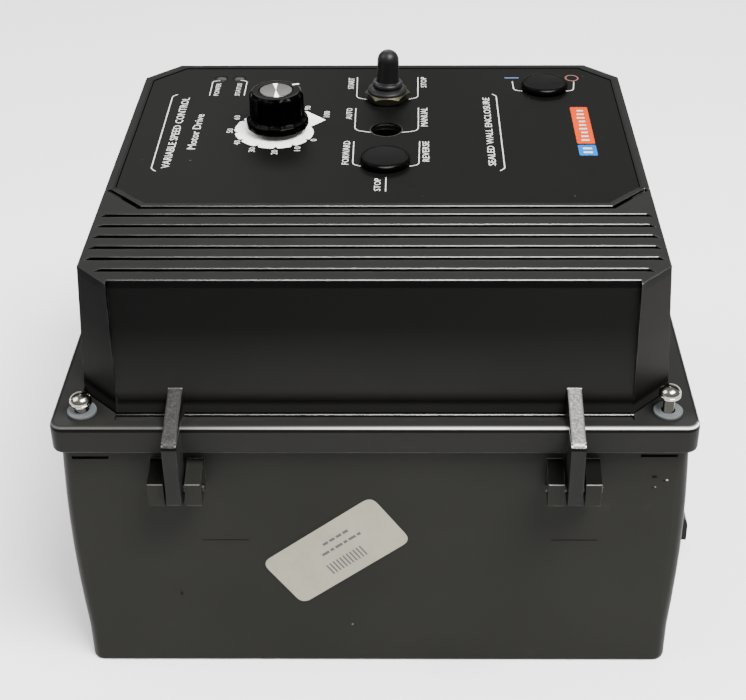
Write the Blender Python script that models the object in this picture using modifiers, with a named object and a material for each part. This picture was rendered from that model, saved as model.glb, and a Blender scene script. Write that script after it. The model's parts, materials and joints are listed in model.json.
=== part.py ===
"""Variable frequency drive in a sealed die-cast enclosure, lying on its back.

Metres. +X runs along the drive towards its conduit end, +Y runs across it away from the cover
hinges, and +Z points out of the front panel. The origin is the middle of the back face.
"""

import math

import bmesh
import bpy
from mathutils import Matrix, Vector

GAP = 0.0003                    # clearance between neighbouring pieces

# Base casting
BASE_LENGTH = 0.232
BASE_WIDTH = 0.219
BASE_HEIGHT = 0.1105
BASE_CORNER = 0.005
BASE_WALL = 0.0035
BASE_FLOOR = 0.004
BASE_FOOT_EDGE = 0.0012         # radius round the bottom edge
END_BULGE = 0.0017              # how far the end walls bow outwards halfway up
BULGE_START = 0.017             # height the bow starts at, just above the feet
BULGE_BANDS = 7

# Cover casting: a rim plate with a raised body on it
RIM_LENGTH = 0.2372
RIM_WIDTH = 0.226
RIM_CORNER = 0.005
RIM_BOTTOM = 0.1084
RIM_TOP = 0.1201
SKIRT_CLEARANCE = 0.0003
POCKET_CEILING = 0.113          # the base wall and the gasket fit below this
BODY_TOP = 0.1707
BODY_FOOT_HALF = (0.1099, 0.1007)
BODY_TOP_HALF = (0.1072, 0.0979)
BODY_CHAMFER = 0.0146
COVER_WALL = 0.003
CAVITY_TOP = 0.1675
CAVITY_SETBACK = 0.0046         # the hinge-side wall of the cavity leans in with the face
CHANNEL_HALF = (0.1096, 0.1043)
CHANNEL_CHAMFER = 0.0147
CHANNEL_DEPTH = 0.003

# Ribs across the front of the cover, between the panel and the hinge side
CREST_FIRST = -0.0448           # near edge of the first rib
CREST_PITCH = 0.0081
GROOVE_COUNT = 6
GROOVE_WIDTH = 0.0022
GROOVE_DEPTH = 0.0013
GROOVE_HALF_LENGTH = 0.1054
GROOVE_END_MARGIN = 0.0024
FACE_CREST = -0.0933            # top edge of the hinge-side face
FACE_HALF_LENGTH = 0.0949

# Recess for the front label
LABEL_HALF_LENGTH = 0.1035
LABEL_NEAR = -0.0362
LABEL_FAR = 0.0948
LABEL_CHAMFER = 0.0136
LABEL_RECESS = 0.001
LABEL_THICKNESS = 0.0004
LABEL_TOP = BODY_TOP - LABEL_RECESS + GAP + LABEL_THICKNESS
LIP_WIDTH = 0.0022

# Controls on the panel
KNOB_AT = (-0.0432, 0.0300)
TOGGLE_AT = (0.0028, 0.0615)
OPEN_HOLE_AT = (0.0028, 0.0300)
DIRECTION_PLUG_AT = (0.0028, -0.0010)
POWER_PLUG_AT = (0.0730, 0.0724)
POWER_LED_AT = (-0.0730, 0.0835)
STATUS_LED_AT = (-0.0648, 0.0835)
SWITCH_HOLE = 0.0065
POT_HOLE = 0.0049
LED_HOLE = 0.0029
LED_DEPTH = 0.0090
LED_BOARD = (0.024, 0.014, 0.0016)

# Speed control, with heights above the label
POT_RADIUS = 0.0120
POT_DEPTH = 0.0110
POT_BUSHING = 0.0085            # height of the threaded bushing above the body
POT_BUSHING_RADIUS = 0.0046
POT_NUT_FLATS = 0.0127
SHAFT_RADIUS = 0.0031
SHAFT_TOP = 0.0150
KNOB_DISH = 0.0178              # floor of the recess that takes the cap
KNOB_CAP_RADIUS = 0.0076
KNOB_CAP_THICKNESS = 0.0006

# Toggle switch and its sealing boot, with heights above the label
TOGGLE_BODY = (0.0280, 0.0130, 0.0200)
BUSHING_RADIUS = 0.0059
BUSHING_TOP = 0.0042
BUSHING_MOUTH = 0.0040
BOOT_NUT_FLATS = 0.0176
BOOT_NUT_HEIGHT = 0.0036
BOOT_DOME_RADIUS = 0.0047
BOOT_DOME_CENTRE = 0.0183

# Hinges
HINGE_CENTRES = (-0.0731, 0.0731)
PIN_Y = -0.1168
PIN_Z = 0.0955
PIN_RADIUS = 0.0015
PIN_HOLE = 0.0018
PIN_LENGTH = 0.0210
ARM_WIDTH = 0.0053
ARM_FRONT = -0.1240
KNUCKLE_RADIUS = 0.0054
LUG_WIDTH = 0.0059
LUG_OFFSET = 0.00685            # from the hinge centre to the middle of a lug
LUG_FRONT = -0.1215
LUG_BOTTOM = 0.0908

# Captive cover screws
SCREW_AT = (0.1074, 0.1034)
SCREW_HOLE = 0.0024
SCREW_SHANK = 0.0018
SCREW_LENGTH = 0.0133           # a backed-out tip stays clear of the base when the cover swings
SCREW_SEAT = 0.1215             # underside of a tightened head
SCREW_LIFTS = {                 # how far each screw is backed out
    "hinge_left": 0.0026,
    "hinge_right": 0.0062,
    "far_left": 0.0035,
    "far_right": 0.0048,
}
SCREW_HEAD = (0.00405, 0.0043)   # radius and height
SCREW_SLOT = (0.0011, 0.010, 0.0032)
SLOT_ANGLE = 55
WASHER_OUTER = 0.0053
WASHER_INNER = 0.0025
WASHER_THICKNESS = 0.0008
BOSS_RADIUS = 0.0059
BOSS_TOP = 0.1102
BOSS_THREAD = 0.0023

# Mounting feet: one on the top end, two on the conduit end
FOOT_REACH = 0.136
FOOT_WIDTH = 0.020
FOOT_HEIGHT = 0.014
FOOT_HOLE = 0.003
FOOT_HOLE_X = 0.126
FEET = ((-1, 0.0), (1, -0.026), (1, 0.026))

# Conduit entries
CONDUIT_Y = (-0.034, 0.034)
CONDUIT_Z = 0.045
CONDUIT_HOLE = 0.0112
CONDUIT_THREAD = 0.0108
CONDUIT_NUT = (0.0150, 0.0030)   # radius and thickness

# Boards and power parts inside
SINK_SIZE = (0.186, 0.150, 0.005)
SINK_CENTRE = (-0.008, 0.0)
SINK_BOTTOM = BASE_FLOOR + GAP
STANDOFF_HEIGHT = 0.015
BOARD_THICKNESS = 0.0016
MAIN_BOARD = (0.180, 0.144)
MAIN_BOARD_Z = SINK_BOTTOM + SINK_SIZE[2] + STANDOFF_HEIGHT + 2 * GAP
MAIN_BOARD_TOP = MAIN_BOARD_Z + BOARD_THICKNESS
CONTROL_BOARD = (0.078, 0.124)
CONTROL_BOARD_AT = (0.032, 0.0)
CONTROL_POST = 0.030
CONTROL_BOARD_Z = MAIN_BOARD_TOP + CONTROL_POST + 2 * GAP
CONTROL_BOARD_TOP = CONTROL_BOARD_Z + BOARD_THICKNESS
MODULE_SIZE = (0.058, 0.044, 0.0125)
MODULE_AT = (-0.040, 0.010)
CAPACITOR = (0.0150, 0.0460)    # radius and height
CAPACITOR_X = -0.072
CAPACITOR_Y = (-0.050, -0.018, 0.014)
CHOKE_AT = (-0.068, 0.054)
CHOKE_RING = 0.0120             # radius of the ring the wire is wound on
CHOKE_COIL = 0.0055             # radius of the winding's section
RELAY_SIZE = (0.0280, 0.0120, 0.0155)
RELAY_AT = (-0.032, -0.056)
FUSE_RADIUS = 0.0032
FUSE_LENGTH = 0.0300
FUSE_AT = (-0.026, 0.055)
TERMINALS = (
    # name, poles, pitch, depth, height, place on the board, board
    ("line_terminals", 3, 0.0100, 0.014, 0.014, (0.0735, -0.036), MAIN_BOARD_TOP),
    ("motor_terminals", 3, 0.0100, 0.014, 0.014, (0.0735, 0.036), MAIN_BOARD_TOP),
    ("signal_terminals", 8, 0.0050, 0.009, 0.010, (0.0620, 0.0), CONTROL_BOARD_TOP),
)


# ---------------------------------------------------------------- helpers

def clear_scene():
    for obj in list(bpy.data.objects):
        bpy.data.objects.remove(obj, do_unlink=True)


def make_collection(name):
    collection = bpy.data.collections.new(name)
    bpy.context.scene.collection.children.link(collection)
    return collection


def make_material(name, colour, roughness, metallic=0.0):
    material = bpy.data.materials.new(name)
    material.use_nodes = True
    shader = material.node_tree.nodes["Principled BSDF"]
    shader.inputs["Base Color"].default_value = (*colour, 1.0)
    shader.inputs["Roughness"].default_value = roughness
    shader.inputs["Metallic"].default_value = metallic
    material.diffuse_color = (*colour, 1.0)
    return material


def add_object(name, mesh, material):
    obj = bpy.data.objects.new(name, mesh)
    PART.objects.link(obj)
    mesh.materials.append(material)
    return obj


def as_tool(obj):
    """Turns an object into a Boolean operand that isn't a piece of the drive."""
    PART.objects.unlink(obj)
    CUTTERS.objects.link(obj)
    obj.hide_render = True
    obj.display_type = "WIRE"
    return obj


def boolean(target, tool, operation):
    modifier = target.modifiers.new(tool.name, "BOOLEAN")
    modifier.operation = operation
    modifier.object = tool
    modifier.solver = "EXACT"


def cut(target, tool):
    boolean(target, as_tool(tool), "DIFFERENCE")


def join(target, tool):
    boolean(target, as_tool(tool), "UNION")


def box(name, size, centre, material):
    mesh = bpy.data.meshes.new(name)
    bm = bmesh.new()
    bmesh.ops.create_cube(bm, size=1.0)
    bmesh.ops.scale(bm, vec=Vector(size), verts=bm.verts)
    bm.to_mesh(mesh)
    bm.free()
    obj = add_object(name, mesh, material)
    obj.location = centre
    return obj


def cylinder(name, radius, depth, centre, material, axis="Z", sides=32):
    mesh = bpy.data.meshes.new(name)
    bm = bmesh.new()
    bmesh.ops.create_cone(bm, cap_ends=True, segments=sides, radius1=radius, radius2=radius, depth=depth)
    bm.to_mesh(mesh)
    bm.free()
    obj = add_object(name, mesh, material)
    obj.location = centre
    if axis == "X":
        obj.rotation_euler = (0.0, math.pi / 2, 0.0)
    elif axis == "Y":
        obj.rotation_euler = (math.pi / 2, 0.0, 0.0)
    mesh.shade_smooth()
    mesh.set_sharp_from_angle(angle=math.radians(40))
    return obj


def turned(name, profile, material, centre, axis="Z", steps=32):
    """A piece of revolution. The profile's (radius, height) points run top to bottom outside."""
    mesh = bpy.data.meshes.new(name)
    points = [(radius, 0.0, height) for radius, height in profile]
    links = [(i, i + 1) for i in range(len(points) - 1)]
    mesh.from_pydata(points, links, [])
    obj = add_object(name, mesh, material)
    obj.location = centre
    if axis == "X":
        obj.rotation_euler = (0.0, math.pi / 2, 0.0)
    screw = obj.modifiers.new("Turn", "SCREW")
    screw.axis = "Z"
    screw.steps = steps
    screw.render_steps = steps
    screw.use_merge_vertices = True
    screw.merge_threshold = 0.00001
    screw.use_smooth_shade = True
    return obj


def ring(name, outer, inner, bottom, top, material, at, axis="Z", steps=32):
    """A plain round ring, turned from its rectangular section."""
    half = (top - bottom) / 2
    section = [(outer, half), (outer, -half), (inner, -half), (inner, half), (outer, half)]
    centre = (*at, (bottom + top) / 2)
    return turned(name, section, material, centre, axis, steps)


def prism(name, outline, thickness, material, axis="Z"):
    """A flat outline with a thickness, centred on its own plane, made as a filled 2D curve.

    The outline lies in XY for axis Z, in YZ for axis X and in XZ for axis Y.
    """
    curve = bpy.data.curves.new(name, "CURVE")
    curve.dimensions = "2D"
    curve.fill_mode = "BOTH"
    curve.extrude = thickness / 2
    spline = curve.splines.new("POLY")
    spline.points.add(len(outline) - 1)
    for point, (u, v) in zip(spline.points, outline):
        point.co = (u, v, 0.0, 1.0)
    spline.use_cyclic_u = True
    source = bpy.data.objects.new(name + "_outline", curve)
    PART.objects.link(source)
    bpy.context.view_layer.update()
    evaluated = source.evaluated_get(bpy.context.evaluated_depsgraph_get())
    mesh = bpy.data.meshes.new_from_object(evaluated)
    bpy.data.objects.remove(source, do_unlink=True)
    turns = {
        "Z": Matrix.Identity(4),
        "X": Matrix(((0, 0, 1, 0), (1, 0, 0, 0), (0, 1, 0, 0), (0, 0, 0, 1))),
        "Y": Matrix(((1, 0, 0, 0), (0, 0, -1, 0), (0, 1, 0, 0), (0, 0, 0, 1))),
    }
    bm = bmesh.new()
    bm.from_mesh(mesh)
    bmesh.ops.remove_doubles(bm, verts=bm.verts, dist=0.00001)
    bmesh.ops.dissolve_limit(bm, angle_limit=0.001, verts=bm.verts, edges=bm.edges)
    bmesh.ops.transform(bm, matrix=turns[axis], verts=bm.verts)
    bmesh.ops.recalc_face_normals(bm, faces=bm.faces)
    bm.to_mesh(mesh)
    bm.free()
    mesh.name = name
    mesh.materials.clear()
    return add_object(name, mesh, material)


def slab(name, outline, bottom, top, material):
    obj = prism(name, outline, top - bottom, material)
    obj.location.z = (bottom + top) / 2
    return obj


def arc(centre, radius, start, end, steps):
    """Points on an arc, with its angles in degrees."""
    points = []
    for i in range(steps + 1):
        angle = math.radians(start + (end - start) * i / steps)
        points.append((centre[0] + radius * math.cos(angle), centre[1] + radius * math.sin(angle)))
    return points


def rounded_rectangle(length, width, radius, steps=5):
    x, y = length / 2 - radius, width / 2 - radius
    corners = (((x, y), 0), ((-x, y), 90), ((-x, -y), 180), ((x, -y), 270))
    outline = []
    for centre, start in corners:
        outline += arc(centre, radius, start, start + 90, steps)
    return outline


def octagon(half_x, near, far, chamfer):
    """A rectangle from near to far in Y, with its corners cut off at 45 degrees."""
    return [
        (half_x, near + chamfer), (half_x, far - chamfer),
        (half_x - chamfer, far), (chamfer - half_x, far),
        (-half_x, far - chamfer), (-half_x, near + chamfer),
        (chamfer - half_x, near), (half_x - chamfer, near),
    ]


def bevel_level_edges(obj, height, width, segments):
    """Rounds the edges that lie level at one height, in the object's own coordinates."""
    bm = bmesh.new()
    bm.from_mesh(obj.data)
    edges = [e for e in bm.edges if all(abs(v.co.z - height) < 1e-6 for v in e.verts)]
    edges = [e for e in edges if e.calc_face_angle(0.0) > 0.5]
    bmesh.ops.bevel(
        bm, geom=edges, offset=width, segments=segments, profile=0.5, affect="EDGES", clamp_overlap=True
    )
    bm.to_mesh(obj.data)
    bm.free()


def body_half(height):
    """Half length and half width of the cover's tapered body at a height."""
    share = (height - RIM_TOP) / (BODY_TOP - RIM_TOP)
    return tuple(foot + (top - foot) * share for foot, top in zip(BODY_FOOT_HALF, BODY_TOP_HALF))


def tapered_octagon(name, bottom, top, inset, material):
    """A slice of the cover's body, or of its cavity when it is inset by the wall."""
    low, high = body_half(bottom), body_half(top)
    chamfer = BODY_CHAMFER - inset * (2 - math.sqrt(2))
    half_x, half_y = low[0] - inset, low[1] - inset
    obj = slab(name, octagon(half_x, -half_y, half_y, chamfer), bottom, top, material)
    scale_x = (high[0] - inset) / half_x
    scale_y = (high[1] - inset) / half_y
    for vertex in obj.data.vertices:
        if vertex.co.z > 0:
            vertex.co.x *= scale_x
            vertex.co.y *= scale_y
    return obj


def hexagon_nut(name, flats, bottom, top, hole, at, material, turn=0.0):
    centre = (*at, (bottom + top) / 2)
    nut = cylinder(name, flats / math.sqrt(3), top - bottom, centre, material, sides=6)
    nut.rotation_euler.z = turn
    cut(nut, cylinder(name + "_bore", hole, 2 * (top - bottom), centre, material, sides=24))
    return nut


# ---------------------------------------------------------------- castings

def bow_end_walls(base):
    """Bows the two end walls of the base outwards between its feet and the rim."""
    start = BULGE_START - BASE_HEIGHT / 2
    reach = BASE_HEIGHT - BULGE_START
    bm = bmesh.new()
    bm.from_mesh(base.data)
    for i in range(BULGE_BANDS):
        level = start + reach * i / BULGE_BANDS
        geometry = bm.verts[:] + bm.edges[:] + bm.faces[:]
        bmesh.ops.bisect_plane(bm, geom=geometry, plane_co=(0.0, 0.0, level), plane_no=(0.0, 0.0, 1.0))
    for vertex in bm.verts:
        share = max(0.0, (vertex.co.z - start) / reach)
        vertex.co.x *= 1 + 2 * END_BULGE / BASE_LENGTH * math.sin(math.pi * share)
    bm.to_mesh(base.data)
    bm.free()


def foot_outline():
    """Side view of a mounting foot, from inside the wall outwards."""
    wall = BASE_LENGTH / 2 - BASE_WALL / 2
    shoulder = arc((FOOT_REACH - 0.006, FOOT_HEIGHT - 0.006), 0.006, 0, 90, 4)
    return [(wall, 0.0), (FOOT_REACH, 0.0), *shoulder, (wall, FOOT_HEIGHT)]


def lug_outline():
    """Side view of a hinge lug, in Y and Z."""
    inside = -BASE_WIDTH / 2 + BASE_WALL / 2
    return [
        (inside, LUG_BOTTOM), (inside, 0.1037), (-0.1108, 0.1034),
        (LUG_FRONT, 0.1006), (LUG_FRONT, LUG_BOTTOM),
    ]


def make_base(paint):
    outline = rounded_rectangle(BASE_LENGTH, BASE_WIDTH, BASE_CORNER)
    base = slab("enclosure_base", outline, 0.0, BASE_HEIGHT, paint)
    bevel_level_edges(base, -BASE_HEIGHT / 2, BASE_FOOT_EDGE, 3)
    bow_end_walls(base)
    inner = rounded_rectangle(
        BASE_LENGTH - 2 * BASE_WALL, BASE_WIDTH - 2 * BASE_WALL, BASE_CORNER - BASE_WALL, 3
    )
    cut(base, slab("base_cavity", inner, BASE_FLOOR, BASE_HEIGHT + 0.01, paint))
    for i, (side, y) in enumerate(FEET):
        foot = prism(f"foot_{i}", foot_outline(), FOOT_WIDTH, paint, axis="Y")
        foot.location.y = y
        if side < 0:
            foot.rotation_euler.z = math.pi
        join(base, foot)
    for i, hinge in enumerate(HINGE_CENTRES):
        for j, offset in enumerate((-LUG_OFFSET, LUG_OFFSET)):
            lug = prism(f"lug_{i}_{j}", lug_outline(), LUG_WIDTH, paint, axis="X")
            lug.location.x = hinge + offset
            join(base, lug)
        reach = (hinge, PIN_Y, PIN_Z)
        cut(base, cylinder(f"lug_hole_{i}", PIN_HOLE, 0.030, reach, paint, axis="X", sides=20))
    for i, (sx, sy) in enumerate(((-1, -1), (1, -1), (-1, 1), (1, 1))):
        x, y = sx * SCREW_AT[0], sy * SCREW_AT[1]
        bottom = BASE_FLOOR / 2
        height = BOSS_TOP - bottom
        join(base, cylinder(f"boss_{i}", BOSS_RADIUS, height, (x, y, bottom + height / 2), paint, sides=20))
        cut(base, cylinder(f"thread_{i}", BOSS_THREAD, 0.030, (x, y, BOSS_TOP - 0.010), paint, sides=16))
    for i, y in enumerate(CONDUIT_Y):
        at = (BASE_LENGTH / 2, y, CONDUIT_Z)
        cut(base, cylinder(f"conduit_hole_{i}", CONDUIT_HOLE, 0.020, at, paint, axis="X"))
    for i, (side, y) in enumerate(FEET):
        at = (side * FOOT_HOLE_X, y, FOOT_HEIGHT / 2)
        cut(base, cylinder(f"foot_hole_{i}", FOOT_HOLE, 0.040, at, paint, sides=20))
    return base


def groove_half_length(y):
    """How far a groove at this Y runs from the middle before the cover's chamfered corner."""
    corner = BODY_TOP_HALF[0] + BODY_TOP_HALF[1] - BODY_CHAMFER - abs(y)
    return min(GROOVE_HALF_LENGTH, corner - GROOVE_END_MARGIN)


def cut_ribs(cover, paint):
    top = BODY_TOP + 0.002
    for i in range(GROOVE_COUNT):
        crest = CREST_FIRST - i * CREST_PITCH
        near = crest - GROOVE_WIDTH
        reach = groove_half_length(near)
        inner = reach - GROOVE_WIDTH
        outline = [(-reach, near), (reach, near), (inner, crest), (-inner, crest)]
        cut(cover, slab(f"groove_{i}", outline, BODY_TOP - GROOVE_DEPTH, top, paint))
    foot_y = -BODY_FOOT_HALF[1]
    face = [
        (FACE_CREST, top), (FACE_CREST, BODY_TOP - 0.0004), (foot_y, RIM_TOP),
        (foot_y - 0.0002, RIM_TOP - 0.0016), (-0.108, RIM_TOP - 0.0016), (-0.108, top),
    ]
    cut(cover, prism("hinge_side_face", face, 2 * FACE_HALF_LENGTH, paint, axis="X"))


def cut_panel(cover, paint):
    """The label recess, the lip round its near side, and the holes for the controls."""
    recess = octagon(LABEL_HALF_LENGTH, LABEL_NEAR, LABEL_FAR, LABEL_CHAMFER)
    cut(cover, slab("label_recess", recess, BODY_TOP - LABEL_RECESS, BODY_TOP + 0.002, paint))
    lip = LABEL_NEAR - LIP_WIDTH
    end_x, end_y = LABEL_HALF_LENGTH + 0.0016, LABEL_NEAR + LABEL_CHAMFER - 0.0016
    turn_x = end_x - (end_y - lip)
    drop = GROOVE_WIDTH
    band = [
        (-end_x, end_y), (-turn_x, lip), (turn_x, lip), (end_x, end_y),
        (end_x + 0.6 * drop, end_y - 0.6 * drop), (turn_x + 0.4 * drop, lip - drop),
        (-turn_x - 0.4 * drop, lip - drop), (-end_x - 0.6 * drop, end_y - 0.6 * drop),
    ]
    cut(cover, slab("lip_groove", band, BODY_TOP - GROOVE_DEPTH, BODY_TOP + 0.002, paint))
    for name, at, radius in panel_holes():
        middle = (CAVITY_TOP + BODY_TOP) / 2
        cut(cover, cylinder("hole_" + name, radius, 0.012, (*at, middle), paint, sides=24))


def panel_holes():
    return (
        ("knob", KNOB_AT, POT_HOLE),
        ("toggle", TOGGLE_AT, SWITCH_HOLE),
        ("open", OPEN_HOLE_AT, SWITCH_HOLE),
        ("direction", DIRECTION_PLUG_AT, SWITCH_HOLE),
        ("power", POWER_PLUG_AT, SWITCH_HOLE),
        ("power_led", POWER_LED_AT, LED_HOLE),
        ("status_led", STATUS_LED_AT, LED_HOLE),
    )


def arm_outline():
    """Side view of a gooseneck hinge arm, in Y and Z, from the cover wall down to the knuckle."""
    knuckle = arc((PIN_Y, PIN_Z), KNUCKLE_RADIUS, 300, 360, 4)
    bend = arc((ARM_FRONT + 0.003, 0.1176), 0.003, 108, 180, 4)
    return [
        (-0.0985, 0.1284), *bend, (ARM_FRONT, 0.0931), (-0.1195, 0.0903),
        *knuckle, (-0.1114, 0.1100), (-0.0985, 0.1180),
    ]


def make_cover(paint):
    rim = rounded_rectangle(RIM_LENGTH, RIM_WIDTH, RIM_CORNER)
    cover = slab("front_cover", rim, RIM_BOTTOM, RIM_TOP, paint)
    half = (RIM_TOP - RIM_BOTTOM) / 2
    bevel_level_edges(cover, half, 0.0018, 3)
    bevel_level_edges(cover, -half, 0.0008, 2)
    channel = octagon(CHANNEL_HALF[0], -CHANNEL_HALF[1], CHANNEL_HALF[1], CHANNEL_CHAMFER)
    cut(cover, slab("rim_channel", channel, RIM_TOP - CHANNEL_DEPTH, RIM_TOP + 0.002, paint))
    join(cover, tapered_octagon("cover_body", 0.1145, BODY_TOP, 0.0, paint))
    cut_ribs(cover, paint)
    cut_panel(cover, paint)
    for i, hinge in enumerate(HINGE_CENTRES):
        arm = prism(f"arm_{i}", arm_outline(), ARM_WIDTH, paint, axis="X")
        arm.location.x = hinge
        join(cover, arm)
        at = (hinge, PIN_Y, PIN_Z)
        cut(cover, cylinder(f"arm_hole_{i}", PIN_HOLE, 0.012, at, paint, axis="X", sides=20))
    cavity = tapered_octagon("cover_cavity", 0.1065, CAVITY_TOP, COVER_WALL, paint)
    for vertex in cavity.data.vertices:
        if vertex.co.z > 0 and vertex.co.y < 0:
            vertex.co.y += CAVITY_SETBACK
    cut(cover, cavity)
    spare = 2 * SKIRT_CLEARANCE
    pocket = rounded_rectangle(BASE_LENGTH + spare, BASE_WIDTH + spare, BASE_CORNER + SKIRT_CLEARANCE)
    cut(cover, slab("rim_pocket", pocket, 0.1060, POCKET_CEILING, paint))
    for name, (x, y) in screw_places().items():
        at = (x, y, RIM_TOP)
        cut(cover, cylinder("screw_hole_" + name, SCREW_HOLE, 0.030, at, paint, sides=20))
    return cover


def make_gasket(rubber):
    outer = rounded_rectangle(BASE_LENGTH - 0.0006, BASE_WIDTH - 0.0006, BASE_CORNER - 0.0003, 4)
    inner = rounded_rectangle(BASE_LENGTH - 0.0056, BASE_WIDTH - 0.0056, BASE_CORNER - 0.0028, 4)
    gasket = slab("cover_gasket", outer, BASE_HEIGHT + GAP, POCKET_CEILING - GAP, rubber)
    cut(gasket, slab("gasket_window", inner, BASE_HEIGHT - 0.002, POCKET_CEILING + 0.002, rubber))


def make_hinge_pins(steel):
    for side, hinge in zip(("left", "right"), HINGE_CENTRES):
        at = (hinge, PIN_Y, PIN_Z)
        cylinder("hinge_pin_" + side, PIN_RADIUS, PIN_LENGTH, at, steel, axis="X", sides=20)


# ---------------------------------------------------------------- cover screws

def screw_places():
    x, y = SCREW_AT
    return {
        "hinge_left": (-x, -y),
        "hinge_right": (x, -y),
        "far_left": (-x, y),
        "far_right": (x, y),
    }


def make_cover_screws(nickel, zinc):
    head, height = SCREW_HEAD
    profile = [
        (0.0, height), (0.45 * head, height - 0.0002), (0.77 * head, height - 0.0006),
        (0.94 * head, height - 0.0011), (head, height - 0.0017), (head, 0.0), (SCREW_SHANK, 0.0),
        (SCREW_SHANK, -SCREW_LENGTH + 0.001), (0.6 * SCREW_SHANK, -SCREW_LENGTH), (0.0, -SCREW_LENGTH),
    ]
    for name, (x, y) in screw_places().items():
        z = SCREW_SEAT + SCREW_LIFTS[name]
        screw = turned("cover_screw_" + name, profile, nickel, (x, y, z), steps=20)
        slot = box("slot_" + name, SCREW_SLOT, (x, y, z + height), nickel)
        slot.rotation_euler.z = math.radians(SLOT_ANGLE)
        cut(screw, slot)
        top = RIM_TOP + GAP + WASHER_THICKNESS
        ring("screw_washer_" + name, WASHER_OUTER, WASHER_INNER, RIM_TOP + GAP, top, zinc, (x, y), steps=20)


# ---------------------------------------------------------------- panel controls

def make_label(film):
    outline = octagon(
        LABEL_HALF_LENGTH - GAP, LABEL_NEAR + GAP, LABEL_FAR - GAP, LABEL_CHAMFER - 0.6 * GAP
    )
    label = slab("front_label", outline, LABEL_TOP - LABEL_THICKNESS, LABEL_TOP, film)
    for name, at, radius in panel_holes():
        cut(label, cylinder("label_" + name, radius, 0.01, (*at, LABEL_TOP), film, sides=24))


def make_leds(lens, board):
    profile = [
        (0.0, 0.0004), (0.0014, 0.0003), (0.0026, -0.0001), (0.0026, -0.0034),
        (0.0040, -0.0034), (0.0040, -LED_DEPTH), (0.0, -LED_DEPTH),
    ]
    for name, at in (("power_led", POWER_LED_AT), ("status_led", STATUS_LED_AT)):
        turned(name, profile, lens, (*at, LABEL_TOP), steps=16)
    x = (POWER_LED_AT[0] + STATUS_LED_AT[0]) / 2
    z = LABEL_TOP - LED_DEPTH - GAP - BOARD_THICKNESS / 2
    box("led_board", LED_BOARD, (x, POWER_LED_AT[1], z), board)


def make_speed_control(plastic, aluminium, brass, steel):
    """Potentiometer with its nut and shaft, and the knob with its cap."""
    x, y = KNOB_AT
    under = CAVITY_TOP - GAP
    pot = [
        (0.0, POT_BUSHING), (POT_BUSHING_RADIUS, POT_BUSHING), (POT_BUSHING_RADIUS, 0.0),
        (POT_RADIUS, 0.0), (POT_RADIUS, -POT_DEPTH), (0.0, -POT_DEPTH),
    ]
    turned("pot_body", pot, steel, (x, y, under), steps=24)
    nut_bottom = LABEL_TOP + GAP
    hexagon_nut("pot_nut", POT_NUT_FLATS, nut_bottom, nut_bottom + 0.0022, POT_HOLE, KNOB_AT, brass)
    shaft_bottom = under + POT_BUSHING + GAP
    length = LABEL_TOP + SHAFT_TOP - shaft_bottom
    cylinder("pot_shaft", SHAFT_RADIUS, length, (x, y, shaft_bottom + length / 2), brass, sides=16)
    knob = [
        (0.0, KNOB_DISH), (0.0079, KNOB_DISH), (0.0079, 0.0186), (0.0086, 0.0186), (0.0108, 0.0174),
        (0.0113, 0.0166), (0.0116, 0.0070), (0.0130, 0.0056), (0.0132, 0.0048), (0.0132, 0.0026),
        (0.0090, 0.0026), (0.0090, 0.0062), (0.0035, 0.0062), (0.0035, 0.0155), (0.0, 0.0155),
    ]
    turned("speed_knob", knob, plastic, (x, y, LABEL_TOP), steps=28)
    cap_middle = LABEL_TOP + KNOB_DISH + GAP + KNOB_CAP_THICKNESS / 2
    cylinder("knob_cap", KNOB_CAP_RADIUS, KNOB_CAP_THICKNESS, (x, y, cap_middle), aluminium, sides=28)


def make_toggle(steel, rubber, brass, plastic):
    """Momentary toggle switch with a sealing boot over its lever."""
    x, y = TOGGLE_AT
    under = CAVITY_TOP - GAP
    body = box("toggle_body", TOGGLE_BODY, (x, y, under - TOGGLE_BODY[2] / 2), plastic)
    top = LABEL_TOP + BUSHING_TOP
    height = top - under + 0.001
    bushing_at = (x, y, top - height / 2)
    join(body, cylinder("toggle_bushing", BUSHING_RADIUS, height, bushing_at, steel, sides=24))
    cut(body, cylinder("toggle_mouth", BUSHING_MOUTH, 0.0120, (x, y, top), steel, sides=20))
    bottom = LABEL_TOP + GAP
    top = bottom + BOOT_NUT_HEIGHT
    hexagon_nut("boot_nut", BOOT_NUT_FLATS, bottom, top, 0.0063, TOGGLE_AT, brass, math.radians(30))
    lever = [
        (0.0, 0.0205), (0.0016, 0.0202), (0.0024, 0.0192), (0.0026, 0.0150), (0.0017, 0.0040),
        (0.0017, 0.0016), (0.0028, 0.0004), (0.0030, -0.0004), (0.0020, -0.0011), (0.0, -0.0011),
    ]
    turned("toggle_lever", lever, steel, (x, y, LABEL_TOP), steps=14)
    dome = arc((0.0, BOOT_DOME_CENTRE), BOOT_DOME_RADIUS, 90, 0, 5)
    boot = [(0.0, BOOT_DOME_CENTRE + BOOT_DOME_RADIUS)] + dome[1:] + [
        (0.0048, 0.0092), (0.0062, 0.0080), (0.0066, 0.0070), (0.0064, 0.0060), (0.0054, 0.0055),
        (0.0044, 0.0055), (0.0031, 0.0080), (0.0031, 0.0198), (0.0022, 0.0209), (0.0, 0.0209),
    ]
    turned("toggle_boot", boot, rubber, (x, y, LABEL_TOP), steps=20)


def make_hole_plugs(rubber, steel):
    for name, at in (("direction", DIRECTION_PLUG_AT), ("power", POWER_PLUG_AT)):
        profile = [
            (0.0, 0.0034), (0.0088, 0.0034), (0.0098, 0.0029), (0.0104, 0.0018), (0.0104, GAP),
            (0.0061, GAP), (0.0061, -0.0105), (0.0, -0.0105),
        ]
        turned("hole_plug_" + name, profile, rubber, (*at, LABEL_TOP), steps=24)
        top = CAVITY_TOP - GAP
        hexagon_nut("plug_nut_" + name, 0.0175, top - 0.0030, top, 0.0065, at, steel)


# ---------------------------------------------------------------- inside

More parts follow.
